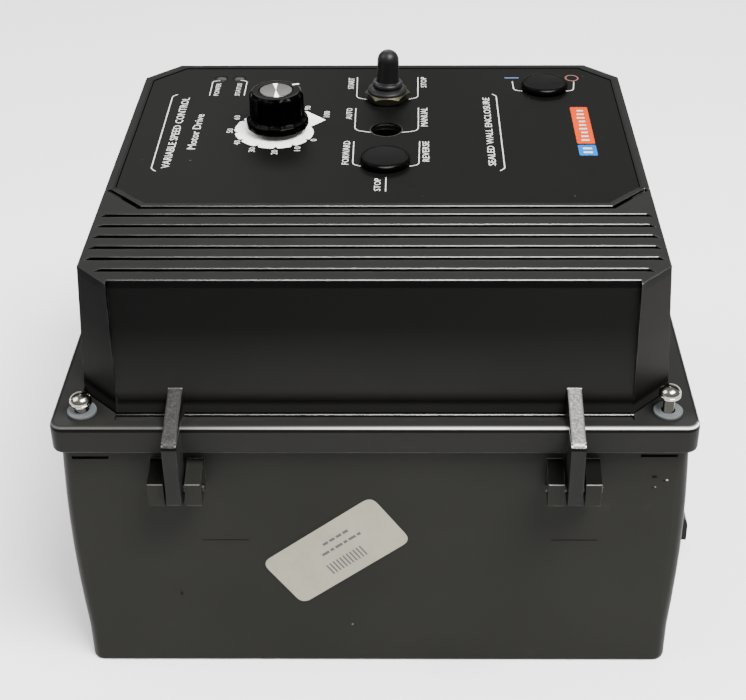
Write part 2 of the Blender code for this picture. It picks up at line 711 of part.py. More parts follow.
def make_conduit_plugs(plastic, steel):
    outside = BASE_LENGTH / 2 + END_BULGE
    inside = BASE_LENGTH / 2 - BASE_WALL
    profile = [
        (0.0, 0.0028), (0.0128, 0.0028), (0.0140, 0.0018), (0.0140, GAP), (CONDUIT_THREAD, GAP),
        (CONDUIT_THREAD, -0.0110), (0.0, -0.0110),
    ]
    for name, y in zip(("a", "b"), CONDUIT_Y):
        turned("conduit_plug_" + name, profile, plastic, (outside, y, CONDUIT_Z), axis="X", steps=24)
        radius, depth = CONDUIT_NUT
        at = (inside - GAP - depth / 2, y, CONDUIT_Z)
        nut = cylinder("conduit_nut_" + name, radius, depth, at, steel, axis="X", sides=8)
        bore = CONDUIT_THREAD + GAP
        cut(nut, cylinder("conduit_bore_" + name, bore, 2 * depth, at, steel, axis="X", sides=24))


def board_corners():
    x, y = MAIN_BOARD[0] / 2 - 0.006, MAIN_BOARD[1] / 2 - 0.006
    cx, cy = SINK_CENTRE
    return [(cx + sx * x, cy + sy * y) for sx in (-1, 1) for sy in (-1, 1)]


def control_posts():
    x, y = CONTROL_BOARD[0] / 2 - 0.005, CONTROL_BOARD[1] / 2 - 0.005
    cx, cy = CONTROL_BOARD_AT
    return [(cx + x, cy + sy * y) for sy in (-1, 1)]


def make_boards(board, aluminium, brass, steel, plastic):
    cx, cy = SINK_CENTRE
    sink_top = SINK_BOTTOM + SINK_SIZE[2]
    box("heat_spreader", SINK_SIZE, (cx, cy, SINK_BOTTOM + SINK_SIZE[2] / 2), aluminium)
    middle = MAIN_BOARD_Z + BOARD_THICKNESS / 2
    box("main_board", (*MAIN_BOARD, BOARD_THICKNESS), (cx, cy, middle), board)
    for i, (x, y) in enumerate(board_corners(), 1):
        z = sink_top + GAP + STANDOFF_HEIGHT / 2
        cylinder(f"standoff_{i}", 0.0032, STANDOFF_HEIGHT, (x, y, z), brass, sides=6)
        head = [(0.0, 0.0018), (0.0018, 0.0016), (0.0028, 0.0006), (0.0028, 0.0), (0.0, 0.0)]
        turned(f"board_screw_{i}", head, steel, (x, y, MAIN_BOARD_TOP + GAP), steps=16)
    x, y = CONTROL_BOARD_AT
    middle = CONTROL_BOARD_Z + BOARD_THICKNESS / 2
    box("control_board", (*CONTROL_BOARD, BOARD_THICKNESS), (x, y, middle), board)
    for i, (x, y) in enumerate(control_posts(), 1):
        z = MAIN_BOARD_TOP + GAP + CONTROL_POST / 2
        cylinder(f"control_post_{i}", 0.0028, CONTROL_POST, (x, y, z), brass, sides=6)
    header_x = CONTROL_BOARD_AT[0] - CONTROL_BOARD[0] / 2 + 0.006
    header = (header_x, 0.0, MAIN_BOARD_TOP + GAP + CONTROL_POST / 2)
    box("board_header", (0.0050, 0.0500, CONTROL_POST), header, plastic)


def make_power_parts(epoxy, sleeve, copper, glass, plastic):
    """The bridge under the main board, and the tall parts on top of it."""
    sink_top = SINK_BOTTOM + SINK_SIZE[2]
    x, y = MODULE_AT
    box("power_module", MODULE_SIZE, (x, y, sink_top + GAP + MODULE_SIZE[2] / 2), epoxy)
    board = MAIN_BOARD_TOP + GAP
    radius, height = CAPACITOR
    can = [
        (0.0, height), (radius - 0.0012, height), (radius, height - 0.0012), (radius, 0.0040),
        (radius - 0.0007, 0.0030), (radius, 0.0020), (radius, 0.0), (0.0, 0.0),
    ]
    for i, y in enumerate(CAPACITOR_Y, 1):
        turned(f"bus_capacitor_{i}", can, sleeve, (CAPACITOR_X, y, board), steps=24)
    section = arc((CHOKE_RING, CHOKE_COIL + GAP), CHOKE_COIL, 90, -270, 8)
    turned("line_choke", section, copper, (*CHOKE_AT, board), steps=20)
    x, y = RELAY_AT
    box("fault_relay", RELAY_SIZE, (x, y, board + RELAY_SIZE[2] / 2), plastic)
    x, y = FUSE_AT
    z = board + 2 * FUSE_RADIUS
    cylinder("line_fuse", FUSE_RADIUS, FUSE_LENGTH, (x, y, z), glass, axis="X", sides=16)


def make_terminals(plastic):
    """Screw terminals: a row of wells cut in a block, at the conduit end."""
    for name, poles, pitch, depth, height, (x, y), board in TERMINALS:
        top = board + GAP + height
        block = box(name, (depth, poles * pitch, height), (x, y, top - height / 2), plastic)
        for i in range(poles):
            at = (x, y + (i - (poles - 1) / 2) * pitch, top)
            cut(block, cylinder(f"{name}_well_{i}", 0.32 * pitch, height, at, plastic, sides=10))


def make_ground_screw(green):
    profile = [
        (0.0, 0.0060), (0.0040, 0.0060), (0.0045, 0.0050), (0.0045, 0.0025), (0.0060, 0.0022),
        (0.0060, 0.0), (0.0, 0.0),
    ]
    turned("ground_screw", profile, green, (0.098, 0.0, BASE_FLOOR + GAP), steps=20)


# ---------------------------------------------------------------- assembly

clear_scene()
PART = make_collection("variable_frequency_drive")
CUTTERS = make_collection("cutters")


def build():
    paint = make_material("black_paint", (0.030, 0.030, 0.028), 0.42)
    film = make_material("label_film", (0.026, 0.026, 0.025), 0.55)
    rubber = make_material("black_rubber", (0.018, 0.018, 0.018), 0.60)
    gasket_rubber = make_material("gasket_foam", (0.10, 0.10, 0.10), 0.85)
    plastic = make_material("black_plastic", (0.012, 0.012, 0.012), 0.30)
    nickel = make_material("nickel_plate", (0.62, 0.58, 0.52), 0.22, 1.0)
    zinc = make_material("nylon_washer", (0.27, 0.29, 0.30), 0.50)
    steel = make_material("steel", (0.45, 0.45, 0.46), 0.35, 1.0)
    brass = make_material("nickel_brass", (0.36, 0.33, 0.26), 0.38, 1.0)
    aluminium = make_material("aluminium", (0.78, 0.78, 0.77), 0.30, 1.0)
    lens = make_material("led_lens", (0.16, 0.16, 0.15), 0.30)
    board = make_material("circuit_board", (0.02, 0.16, 0.07), 0.45)
    epoxy = make_material("module_epoxy", (0.05, 0.05, 0.055), 0.55)
    sleeve = make_material("capacitor_sleeve", (0.03, 0.04, 0.09), 0.35)
    copper = make_material("copper_winding", (0.55, 0.24, 0.12), 0.35, 1.0)
    glass = make_material("fuse_ceramic", (0.78, 0.76, 0.70), 0.35)
    green = make_material("ground_green", (0.03, 0.30, 0.08), 0.40)

    make_base(paint)
    make_cover(paint)
    make_gasket(gasket_rubber)
    make_hinge_pins(steel)
    make_cover_screws(nickel, zinc)
    make_label(film)
    make_leds(lens, board)
    make_speed_control(plastic, aluminium, brass, steel)
    make_toggle(steel, rubber, brass, plastic)
    make_hole_plugs(rubber, steel)
    make_conduit_plugs(plastic, steel)
    make_boards(board, aluminium, brass, steel, plastic)
    make_power_parts(epoxy, sleeve, copper, glass, plastic)
    make_terminals(plastic)
    make_ground_screw(green)


build()
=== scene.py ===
"""Looks of the variable frequency drive: castings, printed panel, controls, screws and boards.

Metres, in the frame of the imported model: +X towards the conduit end, +Y away from the hinges, +Z
out of the panel.
"""

import json
import math

import bmesh
import bpy
from mathutils import Matrix, Vector


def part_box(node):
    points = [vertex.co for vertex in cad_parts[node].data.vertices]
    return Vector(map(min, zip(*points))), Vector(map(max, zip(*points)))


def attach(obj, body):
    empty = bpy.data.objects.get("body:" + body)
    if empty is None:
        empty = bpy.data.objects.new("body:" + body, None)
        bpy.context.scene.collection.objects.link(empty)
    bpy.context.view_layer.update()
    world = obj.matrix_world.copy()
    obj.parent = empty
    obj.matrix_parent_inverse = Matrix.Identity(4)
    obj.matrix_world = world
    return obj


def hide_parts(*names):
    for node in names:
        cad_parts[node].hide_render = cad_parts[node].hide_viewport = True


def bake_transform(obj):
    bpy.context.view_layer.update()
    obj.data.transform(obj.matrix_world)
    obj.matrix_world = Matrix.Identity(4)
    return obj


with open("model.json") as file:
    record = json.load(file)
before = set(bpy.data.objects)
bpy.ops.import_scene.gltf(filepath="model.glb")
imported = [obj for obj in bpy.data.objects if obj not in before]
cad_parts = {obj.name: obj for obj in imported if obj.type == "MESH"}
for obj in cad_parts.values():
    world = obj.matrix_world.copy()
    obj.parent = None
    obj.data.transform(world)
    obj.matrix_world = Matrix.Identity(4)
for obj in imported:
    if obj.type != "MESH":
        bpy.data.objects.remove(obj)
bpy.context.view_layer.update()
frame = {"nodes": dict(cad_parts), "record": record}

NODES = frame["nodes"]
SLOT_OF = {row["node"]: row["material_slot"] for row in frame["record"]["subparts"]}
BODY_OF = {node: body for body, nodes in frame["record"]["behaviour"]["bodies"].items() for node in nodes}

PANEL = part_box("front_label")[1].z          # height of the printed face
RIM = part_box("screw_washer_hinge_left")[0].z        # height of the cover's rim, where its washers sit
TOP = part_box("front_cover")[1].z            # height of the cover's ribs
LABEL_CHAMFER = 0.0136                      # cut off each corner of the label


def middle(node):
    low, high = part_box(node)
    return (low + high) / 2


# ---------------------------------------------------------------- material helper

class Finish:
    """A Principled material and short calls for the nodes that vary it over the surface."""

    def __init__(self, name, colour, roughness, metallic=0.0, **sockets):
        self.material = bpy.data.materials.new(name)
        self.material.use_nodes = True
        self.tree = self.material.node_tree
        self.shader = self.tree.nodes["Principled BSDF"]
        values = {"Base Color": (*colour, 1.0), "Roughness": roughness, "Metallic": metallic}
        for socket, value in (values | sockets).items():
            self.shader.inputs[socket.replace("_", " ")].default_value = value
        self.place = self.add("ShaderNodeTexCoord").outputs["Object"]

    def add(self, kind, sockets=None, **settings):
        """A new node with these settings, whose named sockets take values or other nodes' outputs."""
        node = self.tree.nodes.new(kind)
        for key, value in settings.items():
            setattr(node, key, value)
        for socket, value in (sockets or {}).items():
            self.feed(value, node.inputs[socket])
        return node

    def feed(self, value, socket):
        """Gives a socket a plain value or a node's output."""
        if isinstance(value, bpy.types.NodeSocket):
            self.tree.links.new(value, socket)
        else:
            socket.default_value = value

    def noise(self, scale, detail=3.0, roughness=0.5, stretch=(1.0, 1.0, 1.0)):
        mapping = self.add("ShaderNodeMapping", {"Vector": self.place, "Scale": stretch})
        sockets = {"Scale": scale, "Detail": detail, "Roughness": roughness}
        sockets["Vector"] = mapping.outputs["Vector"]
        return self.add("ShaderNodeTexNoise", sockets).outputs["Fac"]

    def cells(self, scale):
        return self.add("ShaderNodeTexVoronoi", {"Vector": self.place, "Scale": scale}).outputs["Distance"]

    def rings(self, scale):
        sockets = {"Vector": self.place, "Scale": scale}
        wave = self.add("ShaderNodeTexWave", sockets, wave_type="RINGS", rings_direction="Z")
        return wave.outputs["Fac"]

    def ramp(self, source, low, high, start=0.0, end=1.0):
        """Turns source between low and high into start to end."""
        sockets = {"Value": source, "From Min": low, "From Max": high, "To Min": start, "To Max": end}
        return self.add("ShaderNodeMapRange", sockets).outputs["Result"]

    def math(self, operation, a, b=0.5):
        node = self.add("ShaderNodeMath", operation=operation)
        self.feed(a, node.inputs[0])
        self.feed(b, node.inputs[1])
        return node.outputs["Value"]

    def times(self, *masks):
        """The product of masks."""
        product = masks[0]
        for mask in masks[1:]:
            product = self.math("MULTIPLY", product, mask)
        return product

    def between(self, source, low, high, soft):
        """1 where source lies between low and high, with soft ends."""
        return self.times(self.ramp(source, low - soft, low), self.ramp(source, high + soft, high))

    def axes(self, vector):
        """The X, Y and Z of a vector output."""
        split = self.add("ShaderNodeSeparateXYZ", {"Vector": vector})
        return [split.outputs[axis] for axis in "XYZ"]

    def facing(self):
        """The surface normal."""
        return self.add("ShaderNodeNewGeometry").outputs["Normal"]

    def turned_to(self, direction, radius):
        """The cosine between a direction and the surface, with its edges rounded to the radius."""
        bevel = self.add("ShaderNodeBevel", {"Radius": radius}, samples=4)
        dot = self.add("ShaderNodeVectorMath", operation="DOT_PRODUCT")
        self.feed(bevel.outputs["Normal"], dot.inputs[0])
        self.feed(direction, dot.inputs[1])
        return dot.outputs["Value"]

    def faces(self, x, y, z, radius, low, high=1.0):
        """0 where the surface's cosine to the direction is low or less, and 1 where it is high."""
        return self.ramp(self.turned_to(Vector((x, y, z)).normalized(), radius), low, high)

    def edges(self, radius):
        """0 on flat stretches and towards 1 on outer and inner edges."""
        return self.ramp(self.turned_to(self.facing(), radius), 0.998, 0.90)

    def tint(self, mask, colour, amount=1.0):
        """Mixes colour over what is there, where mask is 1."""
        target = self.shader.inputs["Base Color"]
        under = target.links[0].from_socket if target.is_linked else target.default_value
        sockets = {"A": under, "B": (*colour, 1.0), "Factor": self.times(mask, amount)}
        self.feed(self.add("ShaderNodeMix", sockets, data_type="RGBA").outputs["Result"], target)

    def gloss(self, mask, low, high, socket="Roughness"):
        """Gives the socket low, where mask is 0, to high, where it is 1."""
        self.feed(self.ramp(mask, 0.0, 1.0, low, high), self.shader.inputs[socket])

    def bump(self, height, depth, strength=1.0):
        """Adds a relief of that depth, in metres."""
        target = self.shader.inputs["Normal"]
        sockets = {"Strength": strength, "Distance": depth, "Height": height}
        if target.is_linked:
            sockets["Normal"] = target.links[0].from_socket
        self.feed(self.add("ShaderNodeBump", sockets).outputs["Normal"], target)


# ---------------------------------------------------------------- materials

def grey(level):
    return level, level, level


def shades(colour, share):
    return tuple(share * channel for channel in colour)


def casting_paint(name, colour):
    """Semi-gloss black paint with fine orange peel."""
    paint = Finish(name, colour, 0.38, Specular_IOR_Level=0.035)
    cloud = paint.noise(14.0, 4.0)
    grime = paint.noise(55.0, 6.0, 0.65)
    paint.tint(paint.ramp(cloud, 0.35, 0.70), shades(colour, 1.25), 0.8)
    paint.tint(paint.ramp(grime, 0.62, 0.80), shades(colour, 2.4), 0.35)
    paint.gloss(grime, 0.34, 0.46)
    paint.bump(paint.noise(1500.0, 2.0), 0.00003, 0.35)
    paint.bump(cloud, 0.0006, 0.12)
    return paint


def rub_edges_and_paint_highlights(paint, low, high, glint=(0.42, 0.41, 0.38)):
    """Rubs the paint off edges and chips it, and paints highlights on the edges that face the hinge side and
    up, more towards +X, and on edges that face down.
    """
    patchy = paint.noise(160.0, 5.0)
    x, y, z = paint.axes(paint.place)
    paint.tint(paint.times(paint.edges(0.0006), paint.ramp(patchy, 0.42, 0.66)), (0.060, 0.058, 0.052), 0.4)

    # the rim's hinge-side edge is a roll of its own, told by its place; it gets its own painted highlight,
    # with painted shade below it
    roll = paint.times(paint.ramp(y, -0.1080, -0.1095), paint.between(z, RIM - 0.0030, RIM - 0.0002, 0.0001))
    # painted highlights on edges that face the hinge side and up, brighter towards +X and faint on the far
    # half
    edge_highlight = paint.times(paint.faces(0.05, -0.74, 0.67, 0.0006, 0.86, 0.97),
                       paint.ramp(patchy, 0.20, 0.55, 0.75, 1.0), paint.math("SUBTRACT", 1.0, roll))
    reach = paint.times(paint.ramp(x, -0.10, 0.035, low, high), paint.ramp(y, -0.02, 0.0, 1.0, 0.15))
    paint.tint(paint.times(edge_highlight, reach), glint)
    # painted highlight along the top of the rim's roll, brighter towards +X
    roll_highlight = paint.math("POWER", paint.ramp(z, RIM - 0.0003, RIM - 0.0008), 2.2)
    roll_highlight = paint.times(roll_highlight, paint.ramp(z, RIM - 0.0014, RIM - 0.0009))
    paint.tint(paint.times(roll_highlight, paint.times(roll, paint.ramp(x, -0.08, 0.04, 0.07, 0.90))), glint)
    # painted shade in a band below that highlight
    paint.tint(paint.times(roll, paint.between(z, RIM - 0.0024, RIM - 0.0015, 0.0003)), grey(0.0008), 0.9)

    # painted highlight on edges that face down and towards the hinge side
    under = paint.faces(0.0, -0.70, -0.70, 0.0005, 0.90, 0.98)
    paint.tint(paint.times(under, paint.ramp(patchy, 0.30, 0.60)), (0.09, 0.09, 0.082))
    chips = paint.ramp(paint.noise(900.0, 3.0, 0.7), 0.76, 0.79)
    paint.tint(paint.times(chips, paint.ramp(patchy, 0.50, 0.60)), (0.14, 0.135, 0.12), 0.5)


def label_distance(paint):
    """How far a point lies outside the edge of the label, past its ends, far side and far corners."""
    _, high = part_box("front_label")
    x, y, _ = paint.axes(paint.place)
    x = paint.math("ABSOLUTE", x)
    corner = paint.math("SUBTRACT", paint.math("ADD", x, y), high.x + high.y - LABEL_CHAMFER)
    sides = paint.math("MAXIMUM", paint.math("SUBTRACT", x, high.x), paint.math("SUBTRACT", y, high.y))
    return paint.math("MAXIMUM", sides, paint.times(corner, 0.7071))


def cover_paint():
    """The cover's paint, with light and shade painted into it: darker on the tall sides, which face away from
    the light, than on the rim.
    """
    paint = casting_paint("cover_paint", (0.0098, 0.0098, 0.0090))
    x, y, z = paint.axes(paint.place)
    level = paint.axes(paint.facing())[2]

    # the rim: its edge painted lighter, and painted shade on the ends of its top
    paint.tint(paint.ramp(z, RIM - 0.0010, RIM - 0.0016), (0.0120, 0.0120, 0.0110))
    ends = paint.times(paint.ramp(level, 0.8, 0.9), paint.ramp(paint.math("ABSOLUTE", x), 0.095, 0.108),
                       paint.ramp(y, -0.1080, -0.1020), paint.ramp(z, RIM + 0.0005, RIM))
    paint.tint(ends, (0.0056, 0.0056, 0.0050))

    # the raised body: painted shade on its flat tops, on its sides, darker upwards, and in the crease at
    # their foot
    above = paint.ramp(z, RIM + 0.0005, RIM + 0.0025)
    paint.tint(paint.times(above, paint.ramp(level, 0.5, 0.8)), (0.0042, 0.0042, 0.0039))
    side = paint.times(above, paint.ramp(level, 0.5, 0.3))
    depth = paint.times(paint.ramp(z, RIM + 0.006, RIM + 0.032), paint.ramp(x, -0.10, 0.11, 1.0, 0.80))
    paint.tint(paint.times(side, depth), (0.0019, 0.0019, 0.0018))
    foot = paint.times(paint.ramp(z, RIM + 0.0065, RIM + 0.002), paint.ramp(z, RIM - 0.0019, RIM - 0.0016))
    paint.tint(paint.times(side, foot), grey(0.0004), 0.95)

    # the hinge-side corners: the left one duller, with less specular, the right one in a painted browner tone
    # that stands in for the light from the right
    left = paint.times(above, paint.faces(-0.71, -0.70, 0.0, 0.0002, 0.90, 0.94))
    paint.gloss(left, 0.035, 0.010, "Specular IOR Level")
    right = paint.times(above, paint.faces(0.71, -0.70, 0.0, 0.0002, 0.90, 0.94))
    paint.tint(right, (0.0034, 0.0024, 0.0020), 0.65)

    # shadows in the channel round the body and in the grooves between the ribs
    channel = paint.times(paint.between(z, RIM - 0.0040, RIM - 0.0024, 0.0003),
                          paint.ramp(y, -0.1047, -0.1043))
    paint.tint(channel, grey(0.0008), 0.93)
    rub_edges_and_paint_highlights(paint, 0.04, 1.0, (0.80, 0.79, 0.74))
    groove = paint.times(paint.between(z, TOP - 0.0030, TOP - 0.0006, 0.0003),
                         paint.between(y, -0.0945, -0.030, 0.0005))
    paint.tint(groove, grey(0.0002), 0.97)

    # the lip round the label: painted shade in the seam beside it and, at the right, a step further out drawn
    # as a line of painted shade
    outside = label_distance(paint)
    lip = paint.times(paint.ramp(z, TOP - 0.0020, TOP - 0.0016), paint.ramp(y, -0.0250, -0.0235))
    paint.tint(paint.times(lip, paint.between(outside, -0.0008, 0.0012, 0.0003)), grey(0.0003), 0.95)
    step = paint.times(lip, paint.between(outside, 0.0021, 0.0024, 0.0003), paint.ramp(x, 0.100, 0.101))
    paint.tint(step, (0.0020, 0.0020, 0.0018), 0.8)
    return paint


def base_paint():
    """The base's paint, with painted shade on the sloping tops of the hinge lugs but for one, and painted
    highlights on its edges.
    """
    paint = casting_paint("casting_paint", (0.0110, 0.0110, 0.0096))
    x, y, z = paint.axes(paint.place)
    # painted shade on the sloping tops of the lugs
    top = paint.times(paint.ramp(paint.axes(paint.facing())[2], 0.12, 0.25), paint.ramp(y, -0.1098, -0.1102))
    lit = paint.math("SUBTRACT", 1.0, paint.between(x, -0.0725, -0.0600, 0.0003))
    top = paint.times(top, paint.math("MAXIMUM", lit, 0.15), paint.ramp(z, 0.096, 0.0975))
    paint.tint(top, grey(0.0010), 0.8)
    rub_edges_and_paint_highlights(paint, 0.35, 0.70)
    return paint


def mottled(name, colour, roughness, second, noise, span, relief, **sockets):
    """One colour broken up by a second where a noise is high, and a relief of the same noise."""
    finish = Finish(name, colour, roughness, **sockets)
    *noise_kind, amount = noise
    patches = finish.noise(*noise_kind)
    finish.tint(finish.ramp(patches, *span), second, amount)
    finish.bump(patches, *relief)
    return finish


def worn_paint(name, thin, bare):
    """The paint of the hinge arms' tops, rubbed thin, with bare specks."""
    return mottled(name, thin, 0.34, bare, (1300.0, 4.0, 0.7, 0.7), (0.45, 0.60), (0.00005, 0.5),
                   metallic=0.35)


def label_film():
    """Black printed film with a fine tooth, faint smears and a few specks, and painted shade that darkens it
    towards +X.
    """
    film = Finish("panel_film", (0.0042, 0.0042, 0.0039), 0.46, Specular_IOR_Level=0.02)
    # painted shade: darker towards +X
    film.tint(film.ramp(film.axes(film.place)[0], -0.075, 0.015), (0.0020, 0.0021, 0.0018))
    smear = film.noise(18.0, 5.0, 0.6, (1.0, 0.45, 1.0))
    film.tint(film.ramp(smear, 0.45, 0.75), (0.0056, 0.0056, 0.0052), 0.4)
    film.tint(film.ramp(film.noise(520.0, 2.0), 0.78, 0.82), (0.12, 0.12, 0.11), 0.5)
    film.gloss(smear, 0.40, 0.54)
    film.bump(film.noise(2600.0, 1.0), 0.00002, 0.35)
    return film


def ink(name, colour, sheen=0.5):
    """Screen-printed ink, a little thin and uneven."""
    return mottled(name, colour, 0.45, shades(colour, 0.72), (700.0, 4.0, 0.6, 0.8), (0.48, 0.68),
                   (0.00001, 0.3), Specular_IOR_Level=sheen)


def rubber(name, colour, roughness, sheen=0.12):
    """Moulded rubber with dust in its grain."""
    soft = Finish(name, colour, roughness, Specular_IOR_Level=sheen)
    grain = soft.noise(900.0, 3.0)
    dust = soft.noise(120.0, 6.0, 0.7)
    soft.tint(soft.ramp(dust, 0.52, 0.74), tuple(1.6 * c + 0.003 for c in colour), 0.55)
    soft.gloss(dust, roughness - 0.06, roughness + 0.12)
    soft.bump(grain, 0.00004, 0.3)
    return soft


def plug_rubber():
    """Glossy rubber with a painted soft highlight along the front of a rounded edge."""
    plug = rubber("black_rubber", grey(0.0009), 0.34, 0.02)
    plug.tint(plug.faces(0.06, -0.80, 0.60, 0.0003, 0.95), (0.045, 0.045, 0.043))
    return plug


def foam():
    """Closed-cell sealing foam."""
    pad = Finish("gasket_foam", grey(0.085), 0.9)
    cells = pad.cells(1400.0)
    pad.tint(pad.ramp(cells, 0.0, 0.5), grey(0.13), 0.7)
    pad.bump(cells, 0.0001, 0.6)
    return pad


def knob_plastic():
    """Glossy phenolic with fine rub marks, painted lighter on its faces that look up."""
    plastic = Finish("knob_plastic", grey(0.0003), 0.14, Specular_IOR_Level=0.02)
    marks = plastic.noise(420.0, 5.0, 0.7, (1.0, 1.0, 0.15))
    plastic.tint(plastic.ramp(marks, 0.58, 0.74), (0.0016, 0.0016, 0.0015), 0.7)
    # painted light: lighter on the faces that look up
    top = plastic.ramp(plastic.axes(plastic.facing())[2], 0.75, 0.95)
    plastic.tint(top, (0.0062, 0.0062, 0.0058), 0.9)
    plastic.gloss(marks, 0.12, 0.26)
    plastic.bump(marks, 0.00002, 0.3)
    return plastic


def moulded(name, colour, roughness, second, cloud, grain, relief):
    """Cloudy, finely grained plastic or epoxy of the parts inside."""
    plastic = Finish(name, colour, roughness)
    plastic.tint(plastic.ramp(plastic.noise(cloud), 0.4, 0.7), second, 0.6)
    plastic.bump(plastic.noise(*grain), *relief)
    return plastic


def plate(name, colour, low, high):
    """Plated or polished metal with faint stains."""
    metal = Finish(name, colour, low, 1.0)
    stain = metal.noise(380.0, 5.0, 0.65)
    metal.tint(metal.ramp(stain, 0.50, 0.75), shades(colour, 0.55), 0.7)
    metal.gloss(stain, low, high)
    metal.bump(metal.noise(2200.0, 2.0), 0.00001, 0.25)
    return metal


def spun_disc():
    """Aluminium turned on a lathe: dull, with a painted highlight, bright and not metallic, spreading to each
    side of its middle like a bow tie.
    """
    metal = Finish("spun_aluminium", (0.088, 0.087, 0.079), 0.34, 1.0)
    shift = metal.add("ShaderNodeVectorMath", operation="SUBTRACT")
    metal.feed(metal.place, shift.inputs[0])
    metal.feed((*middle("speed_knob").xy, 0.0), shift.inputs[1])
    x, y, _ = metal.axes(shift.outputs["Vector"])
    # painted highlight: a bright bow tie to each side of the middle
    slope = metal.math("ADD", metal.math("DIVIDE", x, y), 0.12)
    painted_bow_tie = metal.ramp(metal.math("ABSOLUTE", slope), 0.19, 0.12)
    metal.tint(painted_bow_tie, (1.0, 1.0, 0.98))
    metal.gloss(painted_bow_tie, 1.0, 0.0, "Metallic")
    metal.bump(metal.rings(1500.0), 0.000004, 0.3)
    return metal


def milled(name, colour, scale):
    """Metal with straight mill or saw marks."""
    metal = Finish(name, colour, 0.32, 1.0)
    marks = metal.noise(scale, 4.0, 0.6, (0.04, 1.0, 1.0))
    metal.tint(metal.ramp(marks, 0.35, 0.70), shades(colour, 0.7), 0.7)
    metal.gloss(marks, 0.26, 0.44)
    metal.bump(marks, 0.00002, 0.35)
    return metal


def circuit_board():
    """Green solder mask over copper tracks."""
    board = Finish("solder_mask", (0.010, 0.085, 0.035), 0.33, Coat_Weight=0.3)
    tracks = board.math("PINGPONG", board.noise(42.0, 0.0, 0.0, (1.0, 2.2, 1.0)), 0.06)
    board.tint(board.ramp(tracks, 0.034, 0.040), (0.022, 0.150, 0.055), 0.9)
    pads = board.cells(210.0)
    board.tint(board.ramp(pads, 0.20, 0.15), (0.55, 0.53, 0.48), 0.75)
    board.bump(board.ramp(tracks, 0.034, 0.040), 0.00004, 0.5)
    return board


def sticker_vinyl():
    """Warm grey vinyl, handled and slightly creased."""
    vinyl = Finish("sticker_vinyl", (0.235, 0.227, 0.172), 0.40, Specular_IOR_Level=0.2)
    smear = vinyl.noise(75.0, 6.0, 0.65)
    vinyl.tint(vinyl.ramp(smear, 0.46, 0.72), (0.190, 0.182, 0.135), 0.7)
    vinyl.tint(vinyl.ramp(vinyl.noise(700.0, 3.0), 0.70, 0.76), (0.16, 0.15, 0.13), 0.4)
    vinyl.gloss(smear, 0.32, 0.52)
    vinyl.bump(smear, 0.0003, 0.18)
    return vinyl


FINISHES = {
    "black_paint": base_paint(),
    "label_film": label_film(),
    "black_rubber": plug_rubber(),
    "gasket_foam": foam(),
    "black_plastic": moulded("housing_plastic", (0.018, 0.018, 0.019), 0.42, (0.028, 0.028, 0.029),
                             60.0, (1800.0, 2.0), (0.00003, 0.4)),
    "nickel_plate": plate("nickel_plate", (0.29, 0.28, 0.25), 0.10, 0.22),
    "nylon_washer": mottled("sealing_washer", (0.060, 0.066, 0.068), 0.55, (0.085, 0.092, 0.096),
                            (600.0, 4.0, 0.7, 0.7), (0.45, 0.70), (0.00003, 0.4), Specular_IOR_Level=0.2),
    "steel": plate("zinc_steel", (0.42, 0.42, 0.43), 0.26, 0.42),
    "nickel_brass": plate("dark_nickel_brass", (0.075, 0.069, 0.047), 0.30, 0.46),
    "aluminium": milled("milled_aluminium", (0.62, 0.62, 0.61), 300.0),
    "led_lens": mottled("lamp_lens", (0.0115, 0.0115, 0.0105), 0.34, (0.020, 0.0195, 0.018),
                        (1400.0, 2.0, 0.6), (0.35, 0.65), (0.00002, 0.4), Specular_IOR_Level=0.1),
    "circuit_board": circuit_board(),
    "module_epoxy": moulded("module_epoxy", (0.035, 0.035, 0.038), 0.5, (0.055, 0.055, 0.058),
                            90.0, (1500.0, 3.0), (0.00005, 0.5)),
    "capacitor_sleeve": mottled("capacitor_sleeve", (0.012, 0.016, 0.05), 0.3, (0.02, 0.028, 0.08),
                                (260.0, 3.0, 0.5, (1.0, 1.0, 0.2), 0.7), (0.5, 0.7), (0.00006, 0.4)),
    "copper_winding": mottled("enamelled_copper", (0.42, 0.13, 0.045), 0.24, (0.26, 0.07, 0.025),
                              (240.0, 3.0, 0.7), (0.4, 0.7), (0.00003, 0.3), metallic=0.85, Coat_Weight=0.6),
    "fuse_ceramic": mottled("fuse_ceramic", (0.70, 0.67, 0.60), 0.28, (0.50, 0.47, 0.41),
                            (900.0, 3.0, 0.5), (0.62, 0.72), (0.00002, 0.3)),
    "ground_green": rubber("ground_green", (0.02, 0.20, 0.05), 0.36, 0.5),
}
for node_name, cad_object in NODES.items():
    cad_object.data.materials.clear()
    cad_object.data.materials.append(FINISHES[SLOT_OF[node_name]].material)
COVER = cover_paint()
PIN = plate("dark_pin_steel", (0.055, 0.054, 0.050), 0.30, 0.45)
for side in ("left", "right"):
    NODES["hinge_pin_" + side].data.materials[0] = PIN.material
KNOB = knob_plastic()
DISC = spun_disc()
WORN = worn_paint("worn_paint", (0.10, 0.10, 0.095), (0.34, 0.33, 0.31))
# a darker copy of the worn paint: painted shade for the left arm, away from the light
WORN_SHADED = worn_paint("worn_paint_shaded", (0.020, 0.020, 0.019), (0.060, 0.058, 0.054))
RUBBER_GREY = rubber("boot_rubber", (0.0044, 0.0046, 0.0045), 0.38, 0.16)
EDGE = milled("bare_edge", (0.006, 0.006, 0.0055), 500.0)
DEEP = rubber("deep_shadow_paint", grey(0.0004), 0.8, 0.01)
